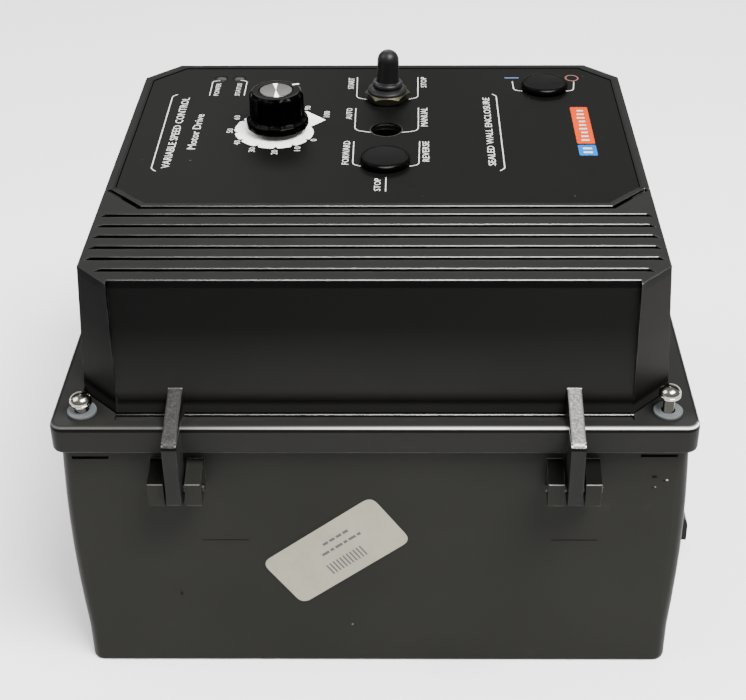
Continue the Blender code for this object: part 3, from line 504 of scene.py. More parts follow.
# painted shade, for faint lines and dents on the wall
FAINT_SHADE = rubber("faint_painted_shade", (0.0060, 0.0060, 0.0054), 0.6, 0.02)
DIAL = ink("dial_white", (0.86, 0.86, 0.84))
VINYL = sticker_vinyl()
TINNED = plate("tinned_metal", (0.60, 0.60, 0.59), 0.22, 0.38)
WHITE = ink("white_ink", (0.47, 0.47, 0.45))
BLUE = ink("blue_ink", (0.022, 0.078, 0.18))
RED = ink("red_ink", (0.13, 0.024, 0.011))
ORANGE = ink("orange_ink", (0.42, 0.038, 0.001), 0.02)
SKY = ink("sky_ink", (0.003, 0.095, 0.33), 0.02)
BLACK = ink("black_ink", grey(0.03))


# ---------------------------------------------------------------- mesh helpers

def new_piece(name, shape, finish, body, replaced=None, smooth=35):
    """Links a bmesh or mesh as a piece that rides on a body and may stand for a CAD node."""
    mesh = shape if isinstance(shape, bpy.types.Mesh) else closed_mesh(shape, name)
    piece = bpy.data.objects.new(name, mesh)
    bpy.context.scene.collection.objects.link(piece)
    mesh.materials.clear()
    mesh.materials.append(finish.material)
    if smooth:
        mesh.shade_smooth()
        mesh.set_sharp_from_angle(angle=math.radians(smooth))
    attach(piece, body)
    if replaced:
        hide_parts(replaced)
    return piece


def mesh_from(bm, name):
    mesh = bpy.data.meshes.new(name)
    bm.to_mesh(mesh)
    bm.free()
    return mesh


def closed_mesh(bm, name):
    """The bmesh as a mesh whose faces all look outwards."""
    bmesh.ops.recalc_face_normals(bm, faces=bm.faces)
    return mesh_from(bm, name)


def ring_of(bm, centre, radius, height, steps, ripple=None):
    """A level ring of vertices. ripple(angle, radius, height) may return another radius, for flutes."""
    ring = []
    for i in range(steps):
        angle = math.tau * i / steps
        reach = ripple(angle, radius, height) if ripple else radius
        place = (centre[0] + reach * math.cos(angle), centre[1] + reach * math.sin(angle), centre[2] + height)
        ring.append(bm.verts.new(place))
    return ring


def skin(bm, rings):
    """Joins each ring of vertices to the next. A ring of one vertex is a pole."""
    for ring, following in zip(rings, rings[1:]):
        count = max(len(ring), len(following))
        for i in range(count):
            j = (i + 1) % count
            corners = (ring[i % len(ring)], ring[j % len(ring)],
                       following[j % len(following)], following[i % len(following)])
            bm.faces.new(tuple(dict.fromkeys(corners)))


def lathe(profile, centre, steps=64, ripple=None):
    """A bmesh of revolution about Z, from (radius, height) points that start and end on the axis."""
    bm = bmesh.new()
    skin(bm, [ring_of(bm, centre, radius, height, steps if radius > 1e-7 else 1, ripple)
              for radius, height in profile])
    return bm


def ring_lathe(profile, centre, steps=64):
    """The same for points that come back to the first, away from the axis."""
    bm = bmesh.new()
    rings = [ring_of(bm, centre, radius, height, steps) for radius, height in profile[:-1]]
    skin(bm, rings + rings[:1])
    return bm


def rounded(points, radius, steps=4):
    """The (radius, height) profile with its inner corners rounded off."""
    result = [points[0]]
    for before, corner, after in zip(points, points[1:], points[2:]):
        p, c, q = Vector(before), Vector(corner), Vector(after)
        reach = min(radius, 0.45 * (p - c).length, 0.45 * (q - c).length)
        start = c + (p - c).normalized() * reach
        end = c + (q - c).normalized() * reach
        for i in range(steps + 1):
            t = i / steps
            point = (1 - t) ** 2 * start + 2 * t * (1 - t) * c + t ** 2 * end
            result.append((point.x, point.y))
    result.append(points[-1])
    return result


def bevelled_copy(node, width, finish):
    """The CAD node's shape with its triangles merged into faces and its edges rounded."""
    bm = bmesh.new()
    bm.from_mesh(NODES[node].data)
    bmesh.ops.remove_doubles(bm, verts=bm.verts, dist=0.000004)
    bmesh.ops.dissolve_limit(bm, angle_limit=math.radians(0.6), verts=bm.verts, edges=bm.edges)
    name = node + "_finished"
    piece = new_piece(name, mesh_from(bm, name), finish, BODY_OF[node], node, smooth=0)
    piece.data.shade_smooth()
    bevel = piece.modifiers.new("Edges", "BEVEL")
    bevel.width = width
    bevel.segments = 3
    bevel.limit_method = "ANGLE"
    bevel.angle_limit = math.radians(33)
    bevel.use_clamp_overlap = True
    weighted = piece.modifiers.new("Shading", "WEIGHTED_NORMAL")
    weighted.weight = 80


# ---------------------------------------------------------------- flat shapes

def extrude_outline(bm, outline, low, high):
    """Adds a closed prism on a flat outline, in the bmesh's own X and Y."""
    below = [bm.verts.new((u, v, low)) for u, v in outline]
    above = [bm.verts.new((u, v, high)) for u, v in outline]
    bm.faces.new(above)
    bm.faces.new(reversed(below))
    for i in range(len(outline)):
        j = (i + 1) % len(outline)
        bm.faces.new((below[i], below[j], above[j], above[i]))


def stroke(points, width):
    """The outline of a line of that width through the points."""
    left, right = [], []
    for i, point in enumerate(points):
        before = Vector(points[max(i - 1, 0)])
        after = Vector(points[min(i + 1, len(points) - 1)])
        along = (after - before).normalized()
        side = Vector((-along.y, along.x)) * width / 2
        left.append(Vector(point) + side)
        right.append(Vector(point) - side)
    return left + right[::-1]


def rectangle(x_low, x_high, y_low, y_high, radius=0.0, steps=4):
    """An upright rectangle, with rounded corners if a radius is given."""
    if not radius:
        return [(x_low, y_low), (x_high, y_low), (x_high, y_high), (x_low, y_high)]
    outline = []
    corners = ((x_high - radius, y_high - radius), (x_low + radius, y_high - radius),
               (x_low + radius, y_low + radius), (x_high - radius, y_low + radius))
    for quarter, (x, y) in enumerate(corners):
        for i in range(steps + 1):
            angle = math.pi / 2 * (quarter + i / steps)
            outline.append((x + radius * math.cos(angle), y + radius * math.sin(angle)))
    return outline


def box_into(bm, low, high):
    extrude_outline(bm, rectangle(low[0], high[0], low[1], high[1]), low[2], high[2])


def oval(x, y, half_x, half_y, steps):
    """The outline of an ellipse."""
    turns = (math.tau * i / steps for i in range(steps))
    return [(x + half_x * math.cos(turn), y + half_y * math.sin(turn)) for turn in turns]


def evaluated_mesh(thing):
    """A plain mesh of an object as its modifiers or its text leave it; the object is removed."""
    bpy.context.view_layer.update()
    mesh = bpy.data.meshes.new_from_object(thing.evaluated_get(bpy.context.evaluated_depsgraph_get()))
    bpy.data.objects.remove(thing, do_unlink=True)
    return mesh


def carved(mesh, cutters):
    """The mesh with the cutter meshes taken away."""
    target = bpy.data.objects.new("carving", mesh)
    bpy.context.scene.collection.objects.link(target)
    helpers = []
    for cutter in cutters:
        helper = bpy.data.objects.new("cutter", cutter)
        bpy.context.scene.collection.objects.link(helper)
        modifier = target.modifiers.new("cut", "BOOLEAN")
        modifier.object = helper
        modifier.operation = "DIFFERENCE"
        modifier.solver = "EXACT"
        helpers.append(helper)
    result = evaluated_mesh(target)
    for helper in helpers:
        bpy.data.objects.remove(helper, do_unlink=True)
    return result


# ---------------------------------------------------------------- printing on the panel

INK = 0.00006                   # thickness of the printing


def letters(bm, text, tops, feet, start, end):
    """Adds block letters that read towards +Y, with their tops at one X and their feet at another."""
    curve = bpy.data.curves.new("letters", "FONT")
    curve.body = text
    curve.extrude = INK / 2
    curve.offset = 0.001
    curve.resolution_u = 2
    holder = bpy.data.objects.new("letters", curve)
    bpy.context.scene.collection.objects.link(holder)
    mesh = evaluated_mesh(holder)
    across = [v.co.x for v in mesh.vertices]
    upward = [v.co.y for v in mesh.vertices]
    for vertex in mesh.vertices:
        u = (vertex.co.x - min(across)) / (max(across) - min(across))
        v = (vertex.co.y - min(upward)) / (max(upward) - min(upward))
        vertex.co.x = feet + (tops - feet) * v
        vertex.co.y = start + (end - start) * u
        vertex.co.z += PANEL + INK / 2
    bm.from_mesh(mesh)


def print_flat(bm, outline, layer=0):
    """Adds a printed shape to the panel, or to the first layer of printing."""
    extrude_outline(bm, outline, PANEL + layer * INK, PANEL + (layer + 1) * INK)


def print_words(bm):
    """Generic function names, in millimetres: text, X of the tops, X of the feet, Y start, Y end."""
    words = (
        ("VARIABLE SPEED CONTROL", -88.0, -84.7, -5.7, 62.7), ("Motor Drive", -79.7, -76.2, 11.5, 45.3),
        ("POWER", -74.6, -72.4, 65.0, 78.2), ("STATUS", -65.2, -63.0, 65.0, 78.2),
        ("START", -15.0, -12.4, 72.0, 84.0), ("AUTO", -14.8, -12.2, 40.4, 51.4),
        ("FORWARD", -14.9, -12.1, -2.6, 19.0), ("STOP", 17.7, 20.2, 73.6, 84.9),
        ("MANUAL", 17.5, 20.4, 33.2, 51.7), ("REVERSE", 18.0, 20.8, 0.1, 18.6),
        ("STOP", -1.3, 1.3, -25.5, -14.8), ("SEALED WALL ENCLOSURE", 44.8, 47.8, -3.6, 62.3),
    )
    for text, *sides in words:
        letters(bm, text, *(0.001 * side for side in sides))


def print_dial_numbers(bm):
    numbers = (
        ("0", -27.5, 20.0), ("10", -33.8, 11.8), ("20", -43.1, 8.6), ("30", -52.6, 10.9), ("40", -59.4, 17.6),
        ("50", -63.5, 29.0), ("60", -61.8, 42.1), ("70", -54.2, 50.6), ("80", -43.2, 54.0),
        ("90", -31.8, 51.8), ("100", -23.2, 45.5),
    )
    for text, x, y in numbers:
        half = 0.001 * len(text)
        x, y = 0.001 * x, 0.001 * y
        letters(bm, text, x - 0.0013, x + 0.0013, y - half, y + half)


def print_lines(bm):
    """Brackets between the function names and the holes, as (width, corner radius, points) in millimetres."""
    lines = (
        (0.55, 3.0, (-89.7, -8.4), (-91.8, -6.2), (-92.6, 64.2), (-90.6, 66.2)),
        (0.50, 2.0, (-76.3, 65.1), (-76.5, 80.6), (-73.3, 81.1)),
        (0.50, 2.0, (-60.9, 65.0), (-61.0, 80.8), (-64.1, 81.6)),
        (0.50, 4.0, (-11.1, 84.8), (-10.8, 62.4), (-6.1, 60.6)),
        (0.50, 4.0, (-10.8, 51.4), (-10.6, 29.2), (-3.8, 27.4)),
        (0.50, 3.0, (-10.6, 18.5), (-10.4, -2.6), (-6.9, -4.2)),
        (0.50, 4.0, (16.4, 84.7), (16.3, 62.6), (12.3, 61.0)),
        (0.50, 4.0, (16.5, 51.7), (16.4, 28.8), (9.4, 27.2)),
        (0.50, 3.0, (16.9, 18.6), (16.5, -2.8), (12.7, -4.3)),
        (0.50, 0.1, (3.3, -14.3), (3.3, -20.0), (3.3, -25.9)),
        (0.55, 3.0, (49.2, 66.2), (51.0, 64.2), (51.2, -6.3), (49.2, -8.3)),
        (0.50, 2.5, (59.0, 80.0), (59.2, 70.6), (62.9, 69.4)),
        (0.50, 2.5, (86.8, 79.5), (85.8, 70.2), (82.3, 69.3)),
    )
    for width, corner, *points in lines:
        path = rounded([(0.001 * x, 0.001 * y) for x, y in points], 0.001 * corner)
        print_flat(bm, stroke(path, 0.00084 * width))


def print_dial(bm):
    """The white band round the knob, wider towards the high numbers, ending in an arrow head."""
    knots = ((12, 14.0), (-4, 15.2), (-24, 16.2), (-48, 17.2), (-90, 18.0), (-186, 18.4), (-240, 18.8),
             (-290, 19.4), (-302, 21.5), (-334, 22.0), (-348, 14.0))
    notches = (-37, -64, -89, -116, -146, -172, -210, -240, -270, -298)
    outer = []
    for (start, near), (end, far) in zip(knots, knots[1:]):
        steps = 1 if end < -290 else abs(end - start) // 2
        for i in range(steps):
            share = 2 * i / abs(end - start)
            outer.append((start + (end - start) * share, near + (far - near) * share))
    band = []
    centre = middle("speed_knob")
    for angle, radius in outer:
        dip = max(0.0, 1.0 - min(abs(angle - notch) for notch in notches) / 3.0)
        reach = 0.001 * (radius - 2.0 * dip)
        turn = math.radians(angle)
        band.append((centre.x + reach * math.cos(turn), centre.y + reach * math.sin(turn)))
    print_flat(bm, band)


def print_on_mark(bm):
    print_flat(bm, rectangle(0.0558, 0.0621, 0.0834, 0.0844))


def print_off_mark(bm):
    """An oval ring, made of two half bands that meet."""
    outer = oval(0.0862, 0.0836, 0.0031, 0.0034, 40)
    inner = oval(0.0862, 0.0836, 0.0025, 0.0028, 40)
    for start in (0, 20):
        half = [i % 40 for i in range(start, start + 21)]
        print_flat(bm, [outer[i] for i in half] + [inner[i] for i in reversed(half)])


def print_corner_bars(bm):
    """Plain bars on the two corner blocks."""
    for i in range(9):
        start = 0.0846 + 0.0003 * (i % 3)
        y = 0.0190 + 0.0036 * i
        print_flat(bm, rectangle(start, 0.0879, y, y + 0.0013), layer=1)
    for y in (0.0074, 0.0110):
        print_flat(bm, rectangle(0.0844, 0.0881, y, y + 0.0015), layer=1)


def print_lettering(bm):
    print_words(bm)
    print_dial_numbers(bm)
    bmesh.ops.remove_doubles(bm, verts=bm.verts, dist=0.0000004)


def print_large_block(bm):
    print_flat(bm, rectangle(0.0825, 0.0900, 0.0163, 0.0522, 0.0007))


def print_small_block(bm):
    print_flat(bm, rectangle(0.0825, 0.0900, 0.0053, 0.0151, 0.0007))


def make_printing():
    for name, finish, draw in (
        ("panel_words", WHITE, print_lettering), ("panel_lines", WHITE, print_lines),
        ("dial_band", DIAL, print_dial), ("on_mark", BLUE, print_on_mark), ("off_mark", RED, print_off_mark),
        ("corner_block_large", ORANGE, print_large_block), ("corner_block_small", SKY, print_small_block),
        ("corner_bars", WHITE, print_corner_bars),
    ):
        bm = bmesh.new()
        draw(bm)
        new_piece(name, bm, finish, "cover", smooth=0)


# ---------------------------------------------------------------- knob

FLUTES = 14


def make_knob():
    centre = (*middle("speed_knob").xy, PANEL)

    def fluted(angle, radius, height):
        scoop = 0.5 - 0.5 * math.cos(FLUTES * angle)
        if 0.0060 < height < 0.0176 and radius > 0.0100:
            return radius - 0.0006 * scoop ** 0.6
        if 0.0026 < height <= 0.0060 and radius > 0.0100:
            return radius - 0.0002 * scoop
        return radius

    profile = rounded([
        (0.0, 0.0177), (0.0071, 0.0177), (0.0072, 0.0184), (0.0098, 0.0184), (0.0112, 0.0172),
        (0.01135, 0.0160), (0.0116, 0.0068), (0.0124, 0.0062), (0.0132, 0.0054), (0.0132, 0.0028),
        (0.0126, 0.0026), (0.0090, 0.0026), (0.0090, 0.0058), (0.0, 0.0058),
    ], 0.0004)
    new_piece("knob_body", lathe(profile, centre, 168, fluted), KNOB, "knob", "speed_knob", smooth=50)
    disc = rounded([
        (0.0, 0.0184), (0.0066, 0.0184), (0.0069, 0.0182), (0.0069, 0.0176), (0.0, 0.0176),
    ], 0.0001)
    new_piece("knob_disc", lathe(disc, centre, 96), DISC, "knob", "knob_cap", smooth=40)
    pointer = bmesh.new()
    extrude_outline(pointer, rectangle(0.0080, 0.0112, -0.00045, 0.00045, 0.0002), 0.0, 0.00012)
    turn = Matrix.Rotation(math.radians(34), 4, "Z") @ Matrix.Rotation(math.radians(6), 4, "Y")
    place = Matrix.Translation((centre[0], centre[1], PANEL + 0.0195)) @ turn
    bmesh.ops.transform(pointer, matrix=place, verts=pointer.verts)
    new_piece("knob_pointer", pointer, DIAL, "knob", smooth=0)


# ---------------------------------------------------------------- toggle switch and plugs

def hexagon_nut(centre, flats, low, high, bore, steps=96):
    """A bmesh of a hexagon nut with chamfered corners, from low to high above the centre."""
    apothem = flats / 2
    bm = bmesh.new()
    rings = [[] for _ in range(6)]
    for i in range(steps):
        angle = math.tau * i / steps
        corner = apothem / math.cos(angle % (math.pi / 3) - math.pi / 6)
        fall = 0.62 * (corner - apothem) + 0.0003
        levels = ((bore, low), (bore, high), (apothem - 0.0004, high), (corner, high - fall),
                  (corner, low + fall), (apothem - 0.0004, low))
        for ring, (radius, height) in zip(rings, levels):
            place = (radius * math.cos(angle), radius * math.sin(angle), height)
            ring.append(bm.verts.new(Vector(centre) + Vector(place)))
    skin(bm, rings + rings[:1])
    return bm


def make_toggle():
    x, y = middle("boot_nut").xy
    centre = (x, y, PANEL)
    nut = hexagon_nut(centre, 0.0176, 0.0003, 0.0039, 0.0063)
    new_piece("boot_nut_chamfered", nut, FINISHES["nickel_brass"], "cover", "boot_nut", smooth=24)
    skirt = rounded([
        (0.0046, 0.0066), (0.0062, 0.0062), (0.0072, 0.0058), (0.0085, 0.0050), (0.0087, 0.0042),
        (0.0083, 0.0038), (0.0064, 0.0038), (0.0064, 0.0046), (0.0050, 0.0058), (0.0046, 0.0066),
    ], 0.0005)
    piece = new_piece("boot_skirt", ring_lathe(skirt, centre, 72), RUBBER_GREY, "cover")
    piece.parent = None
    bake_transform(piece)
    dome = [(0.0, 0.0230)]
    for degrees in range(84, -1, -6):
        angle = math.radians(degrees)
        dome.append((0.0047 * math.cos(angle), 0.0183 + 0.0047 * math.sin(angle)))
    sleeve = rounded([
        (0.0047, 0.0182), (0.0049, 0.0094), (0.0050, 0.0087), (0.0061, 0.0085), (0.0067, 0.0076),
        (0.0066, 0.0066), (0.0060, 0.0060), (0.0052, 0.0058), (0.0044, 0.0060), (0.0033, 0.0085),
    ], 0.0008)
    bm = lathe([*dome, *sleeve, (0.0033, 0.0198), (0.0022, 0.0209), (0.0, 0.0209)], centre, 72)
    lean = Matrix.Rotation(math.radians(1.6), 4, "Y")
    bmesh.ops.transform(bm, matrix=Matrix.Translation(centre) @ lean @ Matrix.Translation(-Vector(centre)),
                        verts=bm.verts)
    new_piece("boot_cap", bm, RUBBER_GREY, "lever", "toggle_boot", smooth=50)


def make_plugs():
    profile = rounded([
        (0.0, 0.0033), (0.0085, 0.0033), (0.0087, 0.0035), (0.0100, 0.0031), (0.0104, 0.0016),
        (0.0100, 0.0003), (0.0092, 0.0003), (0.0061, 0.0003), (0.0061, -0.0105), (0.0, -0.0105),
    ], 0.0007)
    for name in ("direction", "power"):
        plug = lathe(profile, (*middle("hole_plug_" + name).xy, PANEL), 80)
        new_piece("plug_cap_" + name, plug, FINISHES["black_rubber"], "cover", "hole_plug_" + name, smooth=50)
    hole = rounded([
        (0.0066, 0.00010), (0.0071, 0.00005), (0.0071, -0.0002), (0.0065, -0.0006), (0.0063, -0.0004),
        (0.0066, 0.00010),
    ], 0.0001)
    spare = (middle("toggle_lever").x, middle("speed_knob").y, PANEL)
    new_piece("spare_hole_edge", ring_lathe(hole, spare), EDGE, "cover", smooth=40)


def make_lamps():
    profile = rounded([
        (0.0, 0.0004), (0.0014, 0.0003), (0.0026, -0.0001), (0.0026, -0.0034), (0.0040, -0.0034),
        (0.0040, -0.0090), (0.0, -0.0090),
    ], 0.0004)
    for name in ("power_led", "status_led"):
        lens = lathe(profile, (*middle(name).xy, PANEL), 40)
        new_piece(name + "_lens", lens, FINISHES["led_lens"], "cover", name, smooth=40)


# ---------------------------------------------------------------- cover screws and washers

SLOT_TURNS = {"hinge_left": 22.0, "hinge_right": -26.0, "far_left": 61.0, "far_right": 8.0}
THREAD_PITCH = 0.0007


def slotted(head, width, low, high, turn, reach):
    """The mesh of a screw with a slot of that width cut between two heights, turned about its axis."""
    slot = bmesh.new()
    box_into(slot, (-reach, -width / 2, low), (reach, width / 2, high))
    bmesh.ops.rotate(slot, verts=slot.verts, matrix=Matrix.Rotation(turn, 3, "Z"))
    return carved(closed_mesh(head, "screw"), [closed_mesh(slot, "slot")])



def screw_profile(radius, length):
    """A domed head over a threaded shank, from the top of the head down."""
    seat = length - 0.0043
    brim = length - 0.0030
    waist = radius - 0.00012
    points = [(0.0, length)]
    for i in range(1, 12):
        angle = math.radians(90 - 7.6 * i)
        points.append((radius * math.cos(angle), brim + 0.0030 * math.sin(angle)))
    points += [(radius, brim), (waist, brim - 0.0001), (waist, brim - 0.0002), (radius, brim - 0.0003),
               (radius, seat + 0.0002), (radius - 0.0002, seat), (0.0021, seat)]
    for i in range(int((seat - 0.0012) / THREAD_PITCH)):
        z = seat - 0.0002 - THREAD_PITCH * i
        points += [(0.0021, z - 0.00020), (0.00182, z - 0.00045)]
    return points + [(0.0017, 0.0010), (0.0010, 0.0), (0.0, 0.0)]


def make_cover_screws():
    ring = rounded([(0.0026, 0.0013), (0.0052, 0.0013), (0.0054, 0.0011), (0.0054, 0.0001), (0.0026, 0.0001),
                    (0.0026, 0.0013)], 0.0002)
    for name, turn in SLOT_TURNS.items():
        node = "cover_screw_" + name
        low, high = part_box(node)
        length = high.z - low.z
        head = lathe(screw_profile((high.x - low.x) / 2, length), (0.0, 0.0, 0.0))
        mesh = slotted(head, 0.00096, length - 0.0016, length + 0.0024, math.radians(turn), 0.0060)
        mesh.transform(Matrix.Translation((*middle(node).xy, low.z)))
        new_piece("slotted_screw_" + name, mesh, FINISHES["nickel_plate"], BODY_OF[node], node, smooth=32)
        seal = "screw_washer_" + name
        washer = ring_lathe(ring, (*middle(seal).xy, RIM - 0.0003))
        new_piece("washer_" + name, washer, FINISHES["nylon_washer"], "cover", seal, smooth=40)


# ---------------------------------------------------------------- marks on the castings

def on_near_wall(name, bm, finish):
    """A piece from shapes drawn in X and Z, laid on the hinge-side wall of the base."""
    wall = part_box("cover_gasket")[0].y - 0.0003
    turn = Matrix(((1, 0, 0, 0), (0, 0, -1, wall), (0, 1, 0, 0), (0, 0, 0, 1)))
    bmesh.ops.transform(bm, matrix=turn, verts=bm.verts)
    new_piece(name, bm, finish, "base", smooth=0)


def make_sticker():
    """A plain rounded sticker with rows of dashes and bars and no wording."""
    corner, along, down = Vector((-0.0445, 0.0524)), Vector((0.0428, 0.0330)), Vector((0.0151, -0.0214))

    def at(u, v):
        return corner + along * u + down * v

    loop = [at(0.5, 0.0), at(1.0, 0.0), at(1.0, 1.0), at(0.0, 1.0), at(0.0, 0.0), at(0.5, 0.0)]
    sticker = bmesh.new()
    extrude_outline(sticker, rounded(loop, 0.0042, 6)[:-1], -0.00005, 0.00016)
    on_near_wall("wall_sticker", sticker, VINYL)
    marks = bmesh.new()

    def patch(u, v, wide, tall):
        quad = [at(u, v), at(u + wide, v), at(u + wide, v + tall), at(u, v + tall)]
        extrude_outline(marks, quad, 0.00016, 0.00020)

    for row, (first, last) in enumerate(((0.46, 0.70), (0.40, 0.74))):
        u = first
        while u < last:
            wide = 0.030 + 0.016 * ((int(100 * u) + row) % 3)
            patch(u, 0.26 + 0.15 * row, wide, 0.045)
            u += wide + 0.014
    for i in range(11):
        patch(0.36 + 0.030 * i, 0.62, 0.012, 0.20)
    on_near_wall("sticker_marks", marks, BLACK)


def make_wall_marks():
    """Marks on the hinge-side wall: faint lines and small dents in painted shade, dark slots of painted
    shadow in the gaps under the rim, small pits drawn as painted shadows beside light spots of painted
    highlight, and a chip.
    """
    faint = bmesh.new()
    # faint lines and dents in painted shade
    for low, high, z in ((-0.0665, -0.0490, 0.0640), (0.067, 0.0845, 0.0640)):
        extrude_outline(faint, rectangle(low, high, z - 0.00024, z + 0.00024), -0.00005, 0.00003)
    for x, z, size in ((-0.0768, 0.0364, 0.0011), (-0.0540, 0.0950, 0.0004), (0.0330, 0.0330, 0.0005)):
        extrude_outline(faint, oval(x, z, 0.6 * size, size, 10), -0.00005, 0.00003)
    on_near_wall("wall_faint_shade", faint, FAINT_SHADE)
    dark = bmesh.new()
    # dark slots of painted shadow in the gaps under the rim
    for low, high, z in ((-0.1120, -0.0985, 0.1037), (0.0980, 0.1115, 0.1047)):
        extrude_outline(dark, rectangle(low, high, z - 0.0005, z + 0.0006), -0.00005, 0.00010)
    # painted shadows on one side of each pit
    for x, z in ((0.1080, 0.0930), (0.1042, 0.0898), (0.1040, 0.0946), (0.1036, 0.0952)):
        extrude_outline(dark, stroke([(x - 0.0009, z), (x + 0.0009, z + 0.0002)], 0.0004), -0.00005, 0.00003)
    on_near_wall("wall_marks", dark, DEEP)
    light = bmesh.new()
    # light spots: painted highlights on the other side of the pits, and one chip
    for x, z, size in ((0.1086, 0.0934, 0.0004), (0.1045, 0.0901, 0.0003), (-0.0100, 0.0200, 0.0003)):
        extrude_outline(light, oval(x, z, 1.3 * size, size, 8), -0.00005, 0.00006)
    on_near_wall("wall_chips_and_pit_highlights", light, WORN)


def make_arm_wear():
    """The paint rubbed away along the tops of the two hinge arms, as a thin strip over each, the left one in
    a darker copy that is painted shade.
    """
    path = [(y, 0.1284 + 0.339 * (y + 0.0985)) for y in (-0.0996, -0.1040, -0.1100, -0.1160, -0.1208)]
    for i in range(6):
        angle = math.radians(108 + 9 * i)
        path.append((-0.1210 + 0.003 * math.cos(angle), 0.1176 + 0.003 * math.sin(angle)))
    half = 0.00205
    for side, finish in (("left", WORN_SHADED), ("right", WORN)):
        x = middle("hinge_pin_" + side).x
        bm = bmesh.new()
        rings = []
        for i, (y, z) in enumerate(path):
            along = (Vector(path[min(i + 1, len(path) - 1)]) - Vector(path[max(i - 1, 0)])).normalized()
            out = Vector((-abs(along.y), abs(along.x)))
            corners = ((-half, -0.0002), (-half, 0.00005), (half, 0.00005), (half, -0.0002))
            rings.append([bm.verts.new((x + dx, y + out.x * lift, z + out.y * lift)) for dx, lift in corners])
        skin(bm, rings)
        bm.faces.new(rings[0])
        bm.faces.new(rings[-1][::-1])
        new_piece("arm_wear_" + side, bm, finish, "cover", smooth=30)


# ---------------------------------------------------------------- inside the enclosure

def add_mesh(bm, mesh):
    bm.from_mesh(mesh)
    bpy.data.meshes.remove(mesh)


def add_turned(bm, profile, place, steps):
    add_mesh(bm, closed_mesh(lathe(profile, place, steps), "turned"))


def add_block(bm, x, y, z, size, radius=0.0005):
    """Adds a block with rounded upright edges, standing on z, and a thinner layer on its top."""
    wide, deep, tall = size
    for half_x, half_y, corner, low, high in (
        (wide / 2, deep / 2, radius, z, z + tall),
        (wide / 2 - radius, deep / 2 - radius, radius / 2, z + tall, z + tall + radius / 2),
    ):
        extrude_outline(bm, rectangle(x - half_x, x + half_x, y - half_y, y + half_y, corner, 3), low, high)


def add_chip(bodies, leads, x, y, z, size, legs):
    """Adds a chip with a row of bent legs along each long side."""
    wide, deep, _ = size
    add_block(bodies, x, y, z + 0.0006, size, 0.0003)
    for i in range(legs):
        left = x + (i - (legs - 1) / 2) * wide / legs - 0.00025
        for side in (-1, 1):
            out = y + side * (deep / 2 + 0.0004)
            box_into(leads, (left, out - 0.0005, z + 0.0010), (left + 0.0005, out + 0.0004, z + 0.0014))
            foot = out + side * 0.0006
            box_into(leads, (left, foot - 0.0003, z), (left + 0.0005, foot + 0.0002, z + 0.0012))


def add_can(sleeves, tops, x, y, z, radius, height):
    """Adds a small electrolytic capacitor: a sleeved can with a bare top."""
    can = rounded([(0.0, height), (radius, height), (radius, 0.0), (0.0, 0.0)], 0.0005)
    add_turned(sleeves, can, (x, y, z), 32)
    upper, lower = height + 0.00015, height - 0.0002
    top = rounded([(0.0, upper), (0.78 * radius, upper), (0.80 * radius, lower), (0.0, lower)], 0.0001)
    add_turned(tops, top, (x, y, z), 32)


def make_board_parts():
    """Chips, trimmers, small capacitors, a transformer and fuse clips on the two boards."""
    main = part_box("main_board")[1].z
    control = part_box("control_board")[1].z
    bodies, leads, sleeves, tops, trimmers = (bmesh.new() for _ in range(5))
    add_block(bodies, -0.036, -0.024, main, (0.020, 0.018, 0.015), 0.0012)
    add_block(leads, -0.036, -0.024, main + 0.0040, (0.0222, 0.0090, 0.0070), 0.0008)
    for i in range(3):
        add_block(bodies, -0.045 + 0.013 * i, 0.036, main, (0.0105, 0.0055, 0.0100), 0.0008)
    for x, y, legs in ((-0.042, 0.004, 8), (-0.022, 0.004, 8), (-0.022, 0.020, 5)):
        add_chip(bodies, leads, x, y, main, (0.0013 * legs + 0.001, 0.0062, 0.0026), legs)
    for x, y in ((-0.016, -0.036), (-0.024, -0.043), (-0.048, 0.020), (-0.041, 0.020)):
        add_can(sleeves, tops, x, y, main, 0.0029, 0.0090)
    chips = (
        (0.020, 0.020, 12), (0.020, -0.004, 12), (0.026, -0.030, 8), (0.004, 0.040, 5), (0.040, 0.016, 5),
    )
    for x, y, legs in chips:
        add_chip(bodies, leads, x, y, control, (0.0010 * legs + 0.001, 0.0068, 0.0022), legs)
    dial = rounded([(0.0, 0.0052), (0.0018, 0.0052), (0.0019, 0.0040), (0.0, 0.0040)], 0.0002)
    for i in range(7):
        y = -0.050 + 0.0105 * i
        add_block(trimmers, 0.048, y, control, (0.0066, 0.0066, 0.0042), 0.0004)
        add_turned(leads, dial, (0.048, y, control), 24)
    for x, y in ((0.004, -0.052), (0.013, -0.052), (0.004, 0.056), (0.036, 0.054)):
        add_can(sleeves, tops, x, y, control, 0.0026, 0.0070)
    for i in range(18):
        x, y = 0.002 + 0.0035 * (i % 9), (0.031, -0.042)[i // 9]
        add_block(bodies, x, y, control, (0.0016, 0.0028, 0.0007), 0.0002)
        for end in (y - 0.0017, y + 0.0017):
            box_into(leads, (x - 0.0008, end - 0.0003, control), (x + 0.0008, end + 0.0003, control + 0.0008))
    low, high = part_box("line_fuse")
    centre = (low + high) / 2
    for x in (low.x + 0.0035, high.x - 0.0035):
        for y in (centre.y - 0.0041, centre.y + 0.0037):
            box_into(leads, (x - 0.0022, y, main), (x + 0.0022, y + 0.0004, centre.z + 0.0016))
    for name, bm, finish in (("chips", bodies, FINISHES["black_plastic"]), ("leads", leads, TINNED),
                             ("cans", sleeves, FINISHES["capacitor_sleeve"]), ("can_tops", tops, TINNED),
                             ("trimmers", trimmers, BLUE)):
        new_piece("board_" + name, bm, finish, BODY_OF["main_board"], smooth=30)


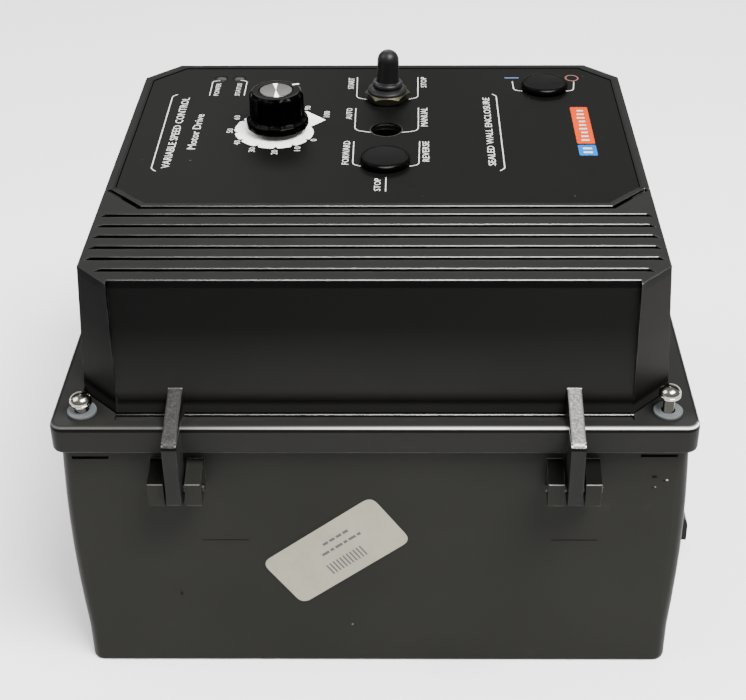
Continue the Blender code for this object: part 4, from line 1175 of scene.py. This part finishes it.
def make_capacitors():
    """The bus capacitors: sleeved cans with a rolled groove, and bare tops scored with a vent cross."""
    for node in ("bus_capacitor_1", "bus_capacitor_2", "bus_capacitor_3"):
        low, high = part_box(node)
        x, y = middle(node).xy
        radius, height = (high.x - low.x) / 2, high.z - low.z
        can = rounded([
            (0.0, height - 0.0008), (radius - 0.0022, height - 0.0008), (radius - 0.0020, height),
            (radius, height), (radius, 0.0044), (radius - 0.0009, 0.0034), (radius, 0.0024), (radius, 0.0),
            (0.0, 0.0),
        ], 0.0009)
        sleeve = lathe(can, (x, y, low.z), 72)
        new_piece(node + "_can", sleeve, FINISHES["capacitor_sleeve"], BODY_OF[node], node, smooth=40)
        bare = radius - 0.0026
        top = rounded([(0.0, 0.0), (bare, 0.0), (bare, -0.0006), (0.0, -0.0006)], 0.0001)
        scores = []
        for turn in (0.5, 0.5 + math.pi / 2):
            score = bmesh.new()
            box_into(score, (-0.0085, -0.0003, -0.0003), (0.0085, 0.0003, 0.0010))
            bmesh.ops.rotate(score, verts=score.verts, matrix=Matrix.Rotation(turn, 3, "Z"))
            scores.append(closed_mesh(score, "score"))
        mesh = carved(closed_mesh(lathe(top, (0.0, 0.0, 0.0)), "top"), scores)
        mesh.transform(Matrix.Translation((x, y, high.z - 0.0002)))
        new_piece(node + "_top", mesh, TINNED, BODY_OF[node], smooth=30)


def make_choke():
    """A ring core with enamelled wire wound round most of it."""
    low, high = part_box("line_choke")
    centre = (low + high) / 2
    reach = (high.z - low.z) / 2
    ring = (high.x - low.x) / 2 - reach
    wire = 0.00062
    core = oval(ring, 0.0, reach - 2 * wire, reach - 2 * wire, 24)
    body = BODY_OF["line_choke"]
    core_ring = ring_lathe(core + core[:1], centre, 72)
    new_piece("choke_core", core_ring, FINISHES["module_epoxy"], body, smooth=50)
    turns, steps, sides = 34, 14, 6
    bm = bmesh.new()
    rings = []
    for i in range(turns * steps + 1):
        along = 0.35 + 5.6 * i / (turns * steps)
        around = math.tau * i / steps
        outward = Vector((math.cos(along), math.sin(along), 0.0))
        spoke = outward * math.cos(around) + Vector((0.0, 0.0, math.sin(around)))
        side = outward.cross(Vector((0.0, 0.0, 1.0)))
        place = centre + outward * ring + spoke * (reach - wire)
        rings.append([bm.verts.new(place + spoke * across + side * beside)
                      for across, beside in oval(0.0, 0.0, wire, wire, sides)])
    skin(bm, rings)
    bm.faces.new(rings[0][::-1])
    bm.faces.new(rings[-1])
    new_piece("choke_winding", bm, FINISHES["copper_winding"], body, "line_choke", smooth=60)


def make_terminal_screws():
    """Slotted screw heads down in the wells of the terminal blocks."""
    for node, poles in (("line_terminals", 3), ("motor_terminals", 3), ("signal_terminals", 8)):
        low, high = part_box(node)
        x, y = middle(node).xy
        pitch = (high.y - low.y) / poles
        floor = (low.z + high.z) / 2 + 0.0001
        radius = 0.26 * pitch
        head = rounded([(0.0, 0.0016), (radius, 0.0014), (radius, 0.0), (0.0, 0.0)], 0.0004)
        heads = bmesh.new()
        for i in range(poles):
            plain = lathe(head, (0.0, 0.0, 0.0), 24)
            mesh = slotted(plain, 0.32 * radius, 0.0009, 0.0030, 0.4 + 0.7 * i, 2 * radius)
            mesh.transform(Matrix.Translation((x, y + (i - (poles - 1) / 2) * pitch, floor)))
            add_mesh(heads, mesh)
        new_piece(node + "_screws", heads, FINISHES["steel"], BODY_OF[node], smooth=30)


# ---------------------------------------------------------------- camera, floor and light

def place_camera():
    data = bpy.data.cameras.new("Camera")
    data.sensor_width = 36.0
    data.lens = CAMERA_LENS
    data.shift_x, data.shift_y = CAMERA_SHIFT
    camera = bpy.data.objects.new("Camera", data)
    bpy.context.scene.collection.objects.link(camera)
    forward = Vector(CAMERA_FORWARD).normalized()
    right = forward.cross(Vector(CAMERA_UP)).normalized()
    turn = Matrix((right, right.cross(forward), -forward)).transposed().to_4x4()
    camera.matrix_world = Matrix.Translation(CAMERA_AT) @ turn
    bpy.context.scene.camera = camera


CAMERA_AT = (0.01383, -0.54602, 0.44605)
CAMERA_FORWARD = (-0.00761, 0.84732, -0.53103)
CAMERA_UP = (0.00025, 0.53105, 0.84734)
CAMERA_LENS = 72.15
CAMERA_SHIFT = (-0.0375, -0.067)


def soft_light(name, at, size, power, aim=(0.0, 0.0, 0.09)):
    data = bpy.data.lights.new(name, "AREA")
    data.shape = "RECTANGLE"
    data.size, data.size_y = size
    data.energy = power
    light = bpy.data.objects.new(name, data)
    bpy.context.scene.collection.objects.link(light)
    light.location = at
    light.rotation_euler = (Vector(aim) - Vector(at)).to_track_quat("-Z", "Y").to_euler()


def make_stage():
    bm = bmesh.new()
    bmesh.ops.create_grid(bm, x_segments=1, y_segments=1, size=6.0)
    floor = bpy.data.objects.new("floor", mesh_from(bm, "floor"))
    bpy.context.scene.collection.objects.link(floor)
    floor.data.materials.append(Finish("floor_white", grey(0.92), 0.9).material)

    world = bpy.data.worlds.new("studio")
    world.use_nodes = True
    background = world.node_tree.nodes["Background"]
    background.inputs["Color"].default_value = (1.0, 1.0, 1.0, 1.0)
    background.inputs["Strength"].default_value = 0.45
    bpy.context.scene.world = world
    soft_light("key", (0.45, -0.50, 1.30), (0.8, 0.5), 70.0)
    soft_light("fill", (-0.9, -0.1, 1.1), (0.8, 0.8), 16.0)
    soft_light("far", (0.0, 2.2, 1.9), (2.4, 0.8), 60.0, aim=(0.0, 0.9, 0.0))


# ---------------------------------------------------------------- castings

def make_castings():
    bevelled_copy("enclosure_base", 0.0006, FINISHES["black_paint"])
    bevelled_copy("front_cover", 0.00045, COVER)


place_camera()
make_stage()
make_castings()
make_printing()
make_knob()
make_toggle()
make_plugs()
make_lamps()
make_cover_screws()
make_sticker()
make_wall_marks()
make_arm_wear()
make_board_parts()
make_capacitors()
make_choke()
make_terminal_screws()
